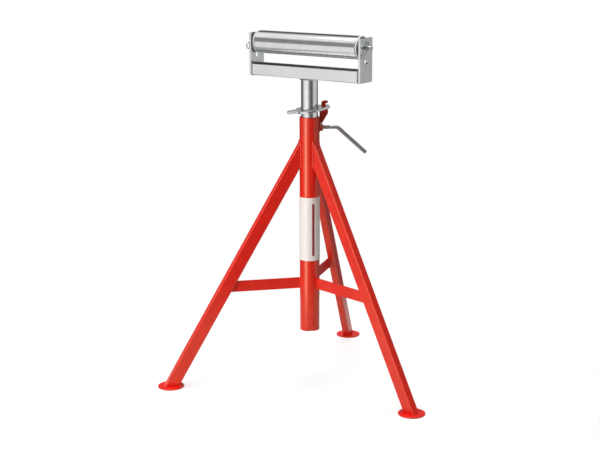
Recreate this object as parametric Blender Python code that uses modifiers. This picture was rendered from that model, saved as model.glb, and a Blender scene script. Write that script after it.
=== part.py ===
"""Conveyor roller stand: a tripod post, a sliding mast held by a friction plate, and a roller head.

Metres, +Z up. The origin is on the floor at the middle of the box round the whole stand. The roller's
axle lies along X, and the tripod stands turned under it, as the free swivel of the mast leaves it.
"""
import math

import bmesh
import bpy
from mathutils import Matrix, Vector

# Fits and finish of the model
GAP = 0.0003
CUT_OVERRUN = 0.02
ROUND_SEGMENTS = 48
SMALL_SEGMENTS = 24
ARC_POINTS = 6
MERGE_DISTANCE = 0.00001
SHARP_ANGLE = math.radians(35)

# Post: round tube with its lower edge pressed in as a stop for the mast
POST_DIAMETER = 0.0508
POST_WALL = 0.003
POST_BOTTOM = 0.1303
POST_LENGTH = 0.557
DENT_COUNT = 3
DENT_AZIMUTH = math.radians(-47)
DENT_WIDTH = 0.025
DENT_HEIGHT = 0.0195
DENT_DEPTH = 0.0035
DENT_RINGS = 5

# Legs: rectangular tubes, leaning out from the post to the feet
LEG_COUNT = 3
LEG_NAMES = ("front", "left", "back")
LEG_AZIMUTH = math.radians(-12.3)
LEG_JOINT_DROP = 0.0946
LEG_WIDTH = 0.020
LEG_DEPTH = 0.033
LEG_WALL = 0.0018
LEG_CORNER = 0.003

# Feet: thin round discs
FOOT_CIRCLE = 0.3662
FOOT_DIAMETER = 0.067
FOOT_THICKNESS = 0.003
FOOT_EDGE = 0.0008

# Braces: flat bars on edge, each welded a little to one side of its leg's middle
BRACE_BOTTOM = 0.2423
BRACE_HEIGHT = 0.0286
BRACE_THICKNESS = 0.0032
BRACE_SHIFTS = (0.003, 0.0, 0.0085)

# Mast: round tube that slides and turns in the post
MAST_DIAMETER = 0.0424
MAST_WALL = 0.003
MAST_LENGTH = 0.590
MAST_RISE = 0.0963

# Guide plug in the mast's lower end
PLUG_FLANGE = 0.004
PLUG_DEPTH = 0.018
PLUG_WALL = 0.004

# Release plate: hangs tilted on the bracket and bites the mast in its hole
PLATE_THICKNESS = 0.006
PLATE_TILT = math.radians(8)
PLATE_RISE = 0.0155
PLATE_BITE_GAP = 0.0004
PLATE_HALF_WIDTH = 0.048
PLATE_REACH = 0.0506
PLATE_END_HALF_WIDTH = 0.0145
TONGUE_REACH = 0.056
TONGUE_HALF_WIDTH = 0.012
TONGUE_ROOT_HALF_WIDTH = 0.020
TONGUE_ROOT = 0.034
PLATE_CORNER = 0.006
PLATE_EDGE_SHARES = ((-0.54, 0.8), (-0.19, 1.0), (0.24, 1.0))
PLATE_ROUND_SHARES = (1.0, 0.5, 1.0, 2.0, 2.0, 1.0)

# Hook bracket: one profile plate on the post, above the lock nut
HOOK_AZIMUTH = math.radians(41)
BRACKET_THICKNESS = 0.006
BRACKET_REACH = 0.0466
BRACKET_CHIN = 0.0132
BRACKET_FOOT = 0.0058
BRACKET_ROUND = 0.003
NECK_START = 0.0046
NECK_WIDTH = 0.0105
HOOK_THICKNESS = 0.0062
HOOK_MOUTH = 0.0068
HOOK_ROUND_SHARE = 0.49
SLOT_CLEARANCE = 0.0008

# Lock: hex nut on the post, with a bent rod screwed through it
LOCK_DROP = 0.0272
NUT_ACROSS_FLATS = 0.017
NUT_HEIGHT = 0.0081
NUT_CHAMFER_DEPTH = 0.0009
NUT_CHAMFER_WIDTH = 0.0018
ROD_DIAMETER = 0.0097
ROD_STRAIGHT = 0.0378
ROD_BEND_ANGLE = math.radians(42.6)
ROD_BEND_RADIUS = 0.014
ROD_ARM = 0.0932
TIP_DIAMETER = 0.0064
TIP_LENGTH = 0.004
TIP_CHAMFER = 0.0008
LOCK_SLACK = 0.0015

# Roller: shell with pressed-in bearing housings
ROLLER_DIAMETER = 0.0572
ROLLER_LENGTH = 0.3048
ROLLER_WALL = 0.0019
HOUSING_SHEET = 0.0018
HOUSING_DEPTH = 0.011
HOUSING_DISH = 0.0025
BEARING_DIAMETER = 0.026
BEARING_WIDTH = 0.009
BEARING_RACE = 0.0045
HUB_DIAMETER = 0.0165

# Head: U-channel with an ear on each end
AXLE_DIAMETER = 0.0127
HEAD_SIDE_ROOM = 0.0099
EAR_THICKNESS = 0.006
EAR_HEIGHT = 0.1079
EAR_EDGE = 0.0006
HEAD_WIDTH = 0.0538
CHANNEL_HEIGHT = 0.0287
CHANNEL_WALL = 0.003
CHANNEL_CORNER = 0.005
AXLE_DROP = 0.0242
SPARE_HOLE_DROP = 0.0331
AXLE_OVERHANG = 0.0147
AXLE_CHAMFER = 0.001

# Hairpin clips through the axle's ends
CLIP_WIRE = 0.0026
CLIP_STAND_OFF = 0.0035
CLIP_LOOP_RADIUS = 0.0070
CLIP_REACH = 0.0265
CLIP_DROOPS = (math.radians(35), math.radians(50))
CLIP_LOOP_SWEEP = math.radians(235)
CLIP_HUG_START = math.radians(30)
CLIP_TAIL = 0.013
CLIP_FLARE = 0.009
CLIP_FLARE_ANGLE = math.radians(25)

# Label wrapped round the post, between the braces and the legs
LABEL_BRACE_ROOM = 0.048
LABEL_LEG_ROOM = 0.0762
LABEL_THICKNESS = 0.0004
LABEL_SEAM = math.radians(8)

# Weld beads
WELD_LEG = 0.0025
WELD_MAST = 0.0035
WELD_MAST_BULGE_SHARE = 0.6
WELD_EAR = 0.0017
WELD_EAR_INSET = 0.0023
WELD_POINT_PITCH = 0.003

# Places worked out from the sizes above
POST_RADIUS = POST_DIAMETER / 2
POST_BORE = POST_RADIUS - POST_WALL
POST_TOP = POST_BOTTOM + POST_LENGTH
MAST_RADIUS = MAST_DIAMETER / 2
MAST_TOP = POST_TOP + MAST_RISE
MAST_BOTTOM = MAST_TOP - MAST_LENGTH
HEAD_BOTTOM = MAST_TOP + GAP
EAR_TOP = HEAD_BOTTOM + EAR_HEIGHT
ROLLER_HEIGHT = EAR_TOP - AXLE_DROP
ROLLER_RADIUS = ROLLER_DIAMETER / 2
EAR_INNER = ROLLER_LENGTH / 2 + HEAD_SIDE_ROOM
EAR_OUTER = EAR_INNER + EAR_THICKNESS
AXLE_RADIUS = AXLE_DIAMETER / 2
LOCK_HEIGHT = POST_TOP - LOCK_DROP
ROD_RADIUS = ROD_DIAMETER / 2
LEG_ANGLE = math.atan2(POST_TOP - LEG_JOINT_DROP, FOOT_CIRCLE - POST_RADIUS)
LEG_AZIMUTHS = [LEG_AZIMUTH - index * math.tau / LEG_COUNT for index in range(LEG_COUNT)]


def foot_extent(direction):
    """Furthest reach of the feet from the post's axis along a world direction."""
    reaches = [FOOT_CIRCLE * (math.cos(a) * direction[0] + math.sin(a) * direction[1]) for a in LEG_AZIMUTHS]
    return max(reaches) + FOOT_DIAMETER / 2


POST_X = (foot_extent((-1, 0)) - foot_extent((1, 0))) / 2
POST_Y = (foot_extent((0, -1)) - foot_extent((0, 1))) / 2


def clear_scene():
    """Removes what a new file starts with."""
    for item in list(bpy.data.objects):
        bpy.data.objects.remove(item, do_unlink=True)


def new_collection(name):
    collection = bpy.data.collections.new(name)
    bpy.context.scene.collection.children.link(collection)
    return collection


def new_material(name, color, roughness, metallic):
    material = bpy.data.materials.new(name)
    material.use_nodes = True
    shader = material.node_tree.nodes["Principled BSDF"]
    shader.inputs["Base Color"].default_value = (*color, 1.0)
    shader.inputs["Roughness"].default_value = roughness
    shader.inputs["Metallic"].default_value = metallic
    return material


def red_paint(name):
    return new_material(name, (0.62, 0.02, 0.015), 0.35, 0.0)


def zinc_plate(name):
    return new_material(name, (0.72, 0.73, 0.74), 0.32, 1.0)


def place(matrix_parent, item):
    """Parents an object to an empty and keeps it where its own matrix puts it."""
    item.parent = matrix_parent
    item.matrix_parent_inverse = matrix_parent.matrix_basis.inverted()


def new_object(name, data, material, matrix=Matrix.Identity(4), parent=None, collection=None):
    """Makes an object from a mesh or curve, with its own material, at a place."""
    item = bpy.data.objects.new(name, data)
    item.matrix_world = matrix
    if material is not None:
        data.materials.append(material)
    (collection or PARTS).objects.link(item)
    if parent is not None:
        place(parent, item)
    return item


def new_empty(name, matrix, parent=None):
    """An empty on a joint's axis, which carries the pieces that move with it."""
    item = bpy.data.objects.new(name, None)
    item.matrix_world = matrix
    PARTS.objects.link(item)
    if parent is not None:
        place(parent, item)
    return item


def radial_matrix(azimuth, radius, height):
    """Frame on the post's outside: X points outwards, Y along the turn, Z up."""
    spot = Vector((POST_X + radius * math.cos(azimuth), POST_Y + radius * math.sin(azimuth), height))
    return Matrix.Translation(spot) @ Matrix.Rotation(azimuth, 4, "Z")


def along_x(x=0.0):
    """Frame on the roller's axle, with Z along +X."""
    return Matrix.Translation((POST_X + x, POST_Y, ROLLER_HEIGHT)) @ Matrix.Rotation(math.pi / 2, 4, "Y")


def smooth(item):
    """Shades a round piece smooth, with its edges sharp."""
    item.data.shade_smooth()
    item.data.set_sharp_from_angle(angle=SHARP_ANGLE)


def turned(name, profile, material, matrix, parent=None, segments=ROUND_SEGMENTS, closed=True, collection=None):
    """Turns a profile of (radius, height) points, listed down its outer side, about Z."""
    mesh = bpy.data.meshes.new(name)
    edges = [(index, index + 1) for index in range(len(profile) - 1)]
    if closed:
        edges.append((len(profile) - 1, 0))
    mesh.from_pydata([(radius, 0.0, height) for radius, height in profile], edges, [])
    item = new_object(name, mesh, material, matrix, parent, collection)
    screw = item.modifiers.new("Turn", "SCREW")
    screw.angle = math.tau
    screw.steps = segments
    screw.render_steps = segments
    screw.use_merge_vertices = True
    screw.merge_threshold = MERGE_DISTANCE
    screw.use_smooth_shade = False
    return item


def tube_profile(outer, inner, low, high, edge=0.0):
    """Section of a tube, with its outer edges broken by a small chamfer."""
    if edge == 0.0:
        return [(outer, high), (outer, low), (inner, low), (inner, high)]
    return [(outer - edge, high), (outer, high - edge), (outer, low + edge), (outer - edge, low), (inner, low),
            (inner, high)]


def rod_profile(radius, low, high, edge):
    """Section of a solid bar with chamfered ends."""
    return [(0.0, high), (radius - edge, high), (radius, high - edge), (radius, low + edge), (radius - edge, low),
            (0.0, low)]


def rounded(points, radii):
    """Rounds the corners of an outline, each with its own radius."""
    outline = []
    count = len(points)
    for index in range(count):
        corner = Vector(points[index])
        before = (Vector(points[index - 1]) - corner).normalized()
        after = (Vector(points[(index + 1) % count]) - corner).normalized()
        radius = radii[index]
        if radius == 0.0:
            outline.append(tuple(corner))
            continue
        half = before.angle(after) / 2
        centre = corner + (before + after).normalized() * (radius / math.sin(half))
        start = corner + before * (radius / math.tan(half)) - centre
        sweep = math.pi - 2 * half
        if before.cross(after) > 0:
            sweep = -sweep
        for step in range(ARC_POINTS + 1):
            turn = sweep * step / ARC_POINTS
            outline.append((centre.x + start.x * math.cos(turn) - start.y * math.sin(turn),
                            centre.y + start.x * math.sin(turn) + start.y * math.cos(turn)))
    return outline


def circle_points(radius, centre=(0.0, 0.0), segments=SMALL_SEGMENTS):
    """Points round a circle."""
    turns = [math.tau * index / segments for index in range(segments)]
    return [(centre[0] + radius * math.cos(turn), centre[1] + radius * math.sin(turn)) for turn in turns]


def flat_curve(name, outlines, thickness):
    """A filled 2D curve, thickened both ways from its plane, whose later outlines are holes."""
    curve = bpy.data.curves.new(name, "CURVE")
    curve.dimensions = "2D"
    curve.fill_mode = "BOTH"
    curve.extrude = thickness / 2
    for points in outlines:
        spline = curve.splines.new("POLY")
        spline.points.add(len(points) - 1)
        for point, (x, y) in zip(spline.points, points):
            point.co = (x, y, 0.0, 1.0)
        spline.use_cyclic_u = True
    return curve


def curve_to_mesh(item):
    """Replaces a curve object by a mesh object with welded caps, so that it can be cut."""
    bpy.context.view_layer.update()
    graph = bpy.context.evaluated_depsgraph_get()
    mesh = bpy.data.meshes.new_from_object(item.evaluated_get(graph))
    matrix = item.matrix_world.copy()
    name = item.name
    material = item.data.materials[0] if item.data.materials else None
    collection = item.users_collection[0]
    bpy.data.objects.remove(item, do_unlink=True)
    welded = bmesh.new()
    welded.from_mesh(mesh)
    bmesh.ops.remove_doubles(welded, verts=welded.verts, dist=MERGE_DISTANCE)
    bmesh.ops.recalc_face_normals(welded, faces=welded.faces)
    welded.to_mesh(mesh)
    welded.free()
    mesh.materials.clear()
    return new_object(name, mesh, material, matrix, collection=collection)


def flat_piece(name, outlines, thickness, material, matrix, parent=None, collection=None):
    """A plate cut to an outline, as a mesh."""
    item = new_object(name, flat_curve(name, outlines, thickness), material, matrix, collection=collection)
    item = curve_to_mesh(item)
    if parent is not None:
        place(parent, item)
    return item


def wire(name, points, radius, material, matrix, parent=None, resolution=3, closed=False):
    """A round wire, bar or bead along a line of points, or round a loop of them."""
    curve = bpy.data.curves.new(name, "CURVE")
    curve.dimensions = "3D"
    curve.bevel_depth = radius
    curve.bevel_resolution = resolution
    curve.use_fill_caps = not closed
    spline = curve.splines.new("POLY")
    spline.points.add(len(points) - 1)
    for point, spot in zip(spline.points, points):
        point.co = (*spot, 1.0)
    spline.use_cyclic_u = closed
    item = curve_to_mesh(new_object(name, curve, material, matrix))
    smooth(item)
    if parent is not None:
        place(parent, item)
    return item


def filled(points):
    """Adds points along the long edges of an outline, so that it can follow a curved face."""
    outline = []
    for start, end in zip(points, points[1:] + points[:1]):
        steps = max(1, round(math.dist(start, end) / WELD_POINT_PITCH))
        for step in range(steps):
            share = step / steps
            outline.append((start[0] + (end[0] - start[0]) * share, start[1] + (end[1] - start[1]) * share))
    return outline


def box(name, low, high, material, matrix, parent=None, collection=None):
    """A box between two corners."""
    mesh = bpy.data.meshes.new(name)
    shape = bmesh.new()
    bmesh.ops.create_cube(shape, size=1.0)
    size = [high[axis] - low[axis] for axis in range(3)]
    middle = [(high[axis] + low[axis]) / 2 for axis in range(3)]
    bmesh.ops.scale(shape, vec=size, verts=shape.verts)
    bmesh.ops.translate(shape, vec=middle, verts=shape.verts)
    shape.to_mesh(mesh)
    shape.free()
    return new_object(name, mesh, material, matrix, parent, collection)


def as_cutter(item):
    """Shows a cutter as wire and keeps it out of renders."""
    item.display_type = "WIRE"
    item.hide_render = True
    return item


def cut(item, cutter, tight_bends=False):
    """Takes a cutter's shape out of a piece, which may fold into itself at its bends."""
    modifier = item.modifiers.new("Cut " + cutter.name, "BOOLEAN")
    modifier.operation = "DIFFERENCE"
    modifier.solver = "EXACT"
    modifier.use_self = tight_bends
    modifier.object = cutter


def bar_cutter(name, radius, low, high, matrix, segments=SMALL_SEGMENTS):
    """A round bar that cuts a hole along its Z."""
    profile = [(0.0, high), (radius, high), (radius, low), (0.0, low)]
    return as_cutter(turned(name, profile, None, matrix, segments=segments, closed=False, collection=CUTTERS))


def dent_depth(angle, height):
    """How far the post's lower edge is pushed in at an angle from a dent's middle."""
    half_angle = DENT_WIDTH / POST_DIAMETER
    if abs(angle) >= half_angle or height >= DENT_HEIGHT:
        return 0.0
    across = math.cos(math.pi / 2 * angle / half_angle) ** 2
    up = math.cos(math.pi / 2 * height / DENT_HEIGHT) ** 2
    return DENT_DEPTH * across * up


def build_post():
    """The post: an open tube with its dents, thickened inwards, with a hole for the lock screw."""
    shape = bmesh.new()
    bmesh.ops.create_cone(shape, cap_ends=False, segments=ROUND_SEGMENTS, radius1=POST_RADIUS,
                          radius2=POST_RADIUS, depth=POST_LENGTH)
    bmesh.ops.translate(shape, vec=(0.0, 0.0, POST_LENGTH / 2), verts=shape.verts)
    for ring in range(1, DENT_RINGS + 1):
        geometry = shape.verts[:] + shape.edges[:] + shape.faces[:]
        bmesh.ops.bisect_plane(shape, geom=geometry, plane_co=(0.0, 0.0, DENT_HEIGHT * ring / DENT_RINGS),
                               plane_no=(0.0, 0.0, 1.0))
    for vertex in shape.verts:
        turn = math.atan2(vertex.co.y, vertex.co.x)
        step = math.tau / DENT_COUNT
        from_dent = (turn - DENT_AZIMUTH + step / 2) % step - step / 2
        scale = (POST_RADIUS - dent_depth(from_dent, vertex.co.z)) / POST_RADIUS
        vertex.co.x *= scale
        vertex.co.y *= scale
    mesh = bpy.data.meshes.new("post_tube")
    shape.to_mesh(mesh)
    shape.free()
    matrix = Matrix.Translation((POST_X, POST_Y, POST_BOTTOM))
    post = new_object("post_tube", mesh, red_paint("post_red"), matrix)
    wall = post.modifiers.new("Wall", "SOLIDIFY")
    wall.thickness = POST_WALL
    wall.offset = -1.0
    wall.use_even_offset = True
    smooth(post)
    hole = radial_matrix(HOOK_AZIMUTH, 0.0, LOCK_HEIGHT) @ Matrix.Rotation(math.pi / 2, 4, "Y")
    cut(post, bar_cutter("lock_hole_cutter", ROD_RADIUS + GAP, POST_BORE / 2, POST_RADIUS + CUT_OVERRUN, hole))


def leg_inner_radius(height):
    """Distance from the post's axis to a leg's inner face at a height."""
    return FOOT_CIRCLE - (height + LEG_DEPTH / 2 / math.cos(LEG_ANGLE)) / math.tan(LEG_ANGLE)


def leg_inner_height(radius):
    """Height of a leg's inner face at a distance from the post's axis."""
    return (FOOT_CIRCLE - radius) * math.tan(LEG_ANGLE) - LEG_DEPTH / 2 / math.cos(LEG_ANGLE)


def leg_section(inset):
    """A leg's rounded section, set in from its outside by an amount."""
    deep = LEG_DEPTH / 2 - inset
    wide = LEG_WIDTH / 2 - inset
    return rounded([(deep, wide), (-deep, wide), (-deep, -wide), (deep, -wide)], [LEG_CORNER - inset] * 4)


def leg_seam():
    """The loop where a leg's outside meets the post's, out along X from the post's axis."""
    frame = Matrix.Translation((FOOT_CIRCLE, 0.0, 0.0)) @ Matrix.Rotation(LEG_ANGLE - math.pi / 2, 4, "Y")
    run = frame.to_3x3() @ Vector((0.0, 0.0, 1.0))
    seam = []
    for x, y in filled(leg_section(0.0)):
        start = frame @ Vector((x, y, 0.0))
        reach = math.sqrt(POST_RADIUS ** 2 - start.y ** 2)
        seam.append(start + run * ((reach - start.x) / run.x))
    return seam


def build_legs(post_cutter):
    """The legs: rounded rectangular tubes, coped to the post, cut flat above the feet and welded round."""
    run = FOOT_CIRCLE / math.cos(LEG_ANGLE)
    below = LEG_DEPTH
    reach = FOOT_CIRCLE + FOOT_DIAMETER
    floor = as_cutter(box("leg_floor_cutter", (-reach, -reach, -reach), (reach, reach, FOOT_THICKNESS + GAP), None,
                          Matrix.Translation((POST_X, POST_Y, 0.0)), collection=CUTTERS))
    for name, azimuth in zip(LEG_NAMES, LEG_AZIMUTHS):
        lean = Matrix.Rotation(LEG_ANGLE - math.pi / 2, 4, "Y")
        middle = Matrix.Translation((0.0, 0.0, (run - below) / 2))
        matrix = radial_matrix(azimuth, FOOT_CIRCLE, 0.0) @ lean @ middle
        leg = flat_piece("leg_" + name, [leg_section(0.0), leg_section(LEG_WALL)], run + below,
                         red_paint("leg_" + name + "_red"), matrix)
        cut(leg, post_cutter)
        cut(leg, floor)
        bead = wire("weld_leg_" + name, leg_seam(), WELD_LEG, red_paint("weld_leg_" + name + "_red"),
                    radial_matrix(azimuth, 0.0, 0.0), resolution=2, closed=True)
        leg_outside = as_cutter(flat_piece("leg_outside_cutter_" + name, [leg_section(-GAP)], run + below, None,
                                           matrix, collection=CUTTERS))
        cut(bead, post_cutter, tight_bends=True)
        cut(bead, leg_outside, tight_bends=True)


def build_feet():
    """The feet: thin discs with broken edges."""
    radius = FOOT_DIAMETER / 2
    for name, azimuth in zip(LEG_NAMES, LEG_AZIMUTHS):
        profile = [(0.0, FOOT_THICKNESS), (radius - FOOT_EDGE, FOOT_THICKNESS), (radius, FOOT_THICKNESS - FOOT_EDGE),
                   (radius, 0.0), (0.0, 0.0)]
        turned("foot_" + name, profile, red_paint("foot_" + name + "_red"),
               radial_matrix(azimuth, FOOT_CIRCLE, 0.0), closed=False)


def build_braces(post_cutter):
    """The braces: flat bars on edge, cut round at the post and slanted at the leg."""
    low = BRACE_BOTTOM
    high = BRACE_BOTTOM + BRACE_HEIGHT
    room = GAP / math.sin(LEG_ANGLE)
    for name, azimuth, shift in zip(LEG_NAMES, LEG_AZIMUTHS, BRACE_SHIFTS):
        outline = [(0.0, low), (leg_inner_radius(low) - room, low), (leg_inner_radius(high) - room, high), (0.0, high)]
        matrix = radial_matrix(azimuth, 0.0, 0.0) @ Matrix.Translation((0.0, shift, 0.0))
        matrix = matrix @ Matrix.Rotation(math.pi / 2, 4, "X")
        brace = flat_piece("brace_" + name, [outline], BRACE_THICKNESS, red_paint("brace_" + name + "_red"), matrix)
        cut(brace, post_cutter)


def plate_under(radius):
    """Height of the release plate's underside at a distance from the post's axis."""
    return POST_TOP + PLATE_RISE + radius * math.tan(PLATE_TILT)


def build_bracket(post_cutter):
    """The hook bracket: a shoulder under the release plate and a hook through its slot."""
    back = POST_RADIUS
    neck_in = POST_RADIUS + NECK_START
    neck_out = neck_in + NECK_WIDTH
    room = GAP / math.cos(PLATE_TILT)
    shoulder = plate_under(BRACKET_REACH) - room
    chin = shoulder - BRACKET_CHIN
    foot = LOCK_HEIGHT + NUT_ACROSS_FLATS / math.sqrt(3) + GAP
    neck_top = plate_under(neck_out) + PLATE_THICKNESS / math.cos(PLATE_TILT) + HOOK_MOUTH
    crown = neck_top + HOOK_THICKNESS
    points = [(0.0, foot), (back + BRACKET_FOOT, foot), (BRACKET_REACH, chin), (BRACKET_REACH, shoulder),
              (neck_out, plate_under(neck_out) - room), (neck_out, neck_top), (BRACKET_REACH, neck_top),
              (BRACKET_REACH, crown), (neck_in, crown), (neck_in, plate_under(neck_in) - room),
              (back, plate_under(back) - room), (0.0, plate_under(back) - room)]
    tip_round = HOOK_THICKNESS * HOOK_ROUND_SHARE
    mouth_round = HOOK_MOUTH * HOOK_ROUND_SHARE
    radii = [0.0, 0.0, BRACKET_ROUND, 0.0, 0.0, mouth_round, tip_round, tip_round, HOOK_THICKNESS, 0.0, 0.0, 0.0]
    matrix = radial_matrix(HOOK_AZIMUTH, 0.0, 0.0) @ Matrix.Rotation(math.pi / 2, 4, "X")
    bracket = flat_piece("hook_bracket", [rounded(points, radii)], BRACKET_THICKNESS, red_paint("bracket_red"), matrix)
    cut(bracket, post_cutter)


def build_release_plate():
    """The release plate, tilted on the bracket's shoulder, with its mast hole, hook slot and tongue."""
    tilt = PLATE_TILT
    pivot = radial_matrix(HOOK_AZIMUTH, BRACKET_REACH, plate_under(BRACKET_REACH))
    hinge = new_empty("release_plate_hinge", pivot)
    middle = -(BRACKET_REACH - PLATE_THICKNESS / 2 * math.sin(tilt)) / math.cos(tilt)
    half = [(-TONGUE_REACH, -TONGUE_HALF_WIDTH), (-TONGUE_ROOT, -TONGUE_ROOT_HALF_WIDTH)]
    half += [(along * PLATE_REACH, -aside * PLATE_HALF_WIDTH) for along, aside in PLATE_EDGE_SHARES]
    half.append((PLATE_REACH, -PLATE_END_HALF_WIDTH))
    points = half + [(x, -y) for x, y in reversed(half)]
    radii = [PLATE_CORNER * share for share in PLATE_ROUND_SHARES]
    outline = [(middle + x, y) for x, y in rounded(points, radii + radii[::-1])]
    hole = (MAST_RADIUS + PLATE_BITE_GAP + PLATE_THICKNESS / 2 * math.sin(tilt)) / math.cos(tilt)
    hole_outline = circle_points(hole, (middle, 0.0), ROUND_SEGMENTS)
    neck = POST_RADIUS + NECK_START + NECK_WIDTH / 2 - BRACKET_REACH
    slot_middle = (neck + PLATE_THICKNESS / 2 * math.sin(tilt)) / math.cos(tilt)
    slot_half = (NECK_WIDTH + PLATE_THICKNESS * math.sin(tilt)) / 2 / math.cos(tilt) + SLOT_CLEARANCE
    slot_side = BRACKET_THICKNESS / 2 + SLOT_CLEARANCE
    slot = [(slot_middle - slot_half, -slot_side), (slot_middle + slot_half, -slot_side),
            (slot_middle + slot_half, slot_side), (slot_middle - slot_half, slot_side)]
    lift = Matrix.Rotation(-tilt, 4, "Y") @ Matrix.Translation((0.0, 0.0, PLATE_THICKNESS / 2))
    flat_piece("release_plate", [outline, hole_outline, slot], PLATE_THICKNESS, zinc_plate("plate_zinc"),
               pivot @ lift, hinge)


def build_lock(post_cutter):
    """The lock: a hex nut on the post, the bent rod through it, and the point that meets the mast."""
    axis = radial_matrix(HOOK_AZIMUTH, 0.0, LOCK_HEIGHT)
    outwards = axis @ Matrix.Rotation(math.pi / 2, 4, "Y")
    nut_outer = POST_RADIUS + NUT_HEIGHT
    corners = NUT_ACROSS_FLATS / math.sqrt(3)
    hexagon = circle_points(corners, segments=6)
    bore = circle_points(ROD_RADIUS + GAP)
    nut_length = nut_outer - POST_BORE
    nut_matrix = outwards @ Matrix.Translation((0.0, 0.0, nut_outer - nut_length / 2))
    nut = flat_piece("clamp_nut", [hexagon, bore], nut_length, red_paint("nut_red"), nut_matrix)
    cut(nut, post_cutter)
    far = corners + CUT_OVERRUN
    chamfer_low = nut_outer - NUT_CHAMFER_DEPTH
    chamfer_inner = corners - NUT_CHAMFER_WIDTH
    chamfer = [(far, nut_outer + CUT_OVERRUN), (far, chamfer_low), (corners, chamfer_low), (chamfer_inner, nut_outer),
               (chamfer_inner, nut_outer + CUT_OVERRUN)]
    cut(nut, as_cutter(turned("nut_chamfer_cutter", chamfer, None, outwards, collection=CUTTERS)))
    turning = new_empty("lock_screw_axis", axis)
    tip_end = MAST_RADIUS + GAP + LOCK_SLACK
    turned("lock_screw_tip", rod_profile(TIP_DIAMETER / 2, tip_end, tip_end + TIP_LENGTH, TIP_CHAMFER),
           zinc_plate("tip_steel"), outwards, turning, segments=SMALL_SEGMENTS, closed=False)
    rod_start = tip_end + TIP_LENGTH + GAP
    bend_start = rod_start + ROD_STRAIGHT
    points = [(rod_start, 0.0, 0.0), (bend_start, 0.0, 0.0)]
    for step in range(1, ARC_POINTS + 1):
        turn = ROD_BEND_ANGLE * step / ARC_POINTS
        points.append((bend_start + ROD_BEND_RADIUS * math.sin(turn), 0.0, -ROD_BEND_RADIUS * (1 - math.cos(turn))))
    last = points[-1]
    points.append((last[0] + ROD_ARM * math.cos(ROD_BEND_ANGLE), 0.0, last[2] - ROD_ARM * math.sin(ROD_BEND_ANGLE)))
    wire("lock_handle", points, ROD_RADIUS, new_material("handle_steel", (0.35, 0.36, 0.37), 0.4, 1.0), axis, turning)


def build_mast(mast_empty, plug_empty):
    """The mast tube and the guide plug in its lower end."""
    matrix = Matrix.Translation((POST_X, POST_Y, MAST_BOTTOM))
    turned("mast_tube", tube_profile(MAST_RADIUS, MAST_RADIUS - MAST_WALL, 0.0, MAST_LENGTH),
           zinc_plate("mast_zinc"), matrix, mast_empty)
    flange = POST_BORE - GAP
    stem = MAST_RADIUS - MAST_WALL - GAP
    profile = [(stem, PLUG_DEPTH), (stem, -GAP), (flange, -GAP), (flange, -PLUG_FLANGE), (stem - PLUG_WALL, -PLUG_FLANGE),
               (stem - PLUG_WALL, PLUG_DEPTH)]
    turned("mast_end_plug", profile, new_material("plug_plastic", (0.05, 0.05, 0.05), 0.5, 0.0), matrix, plug_empty)


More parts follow.
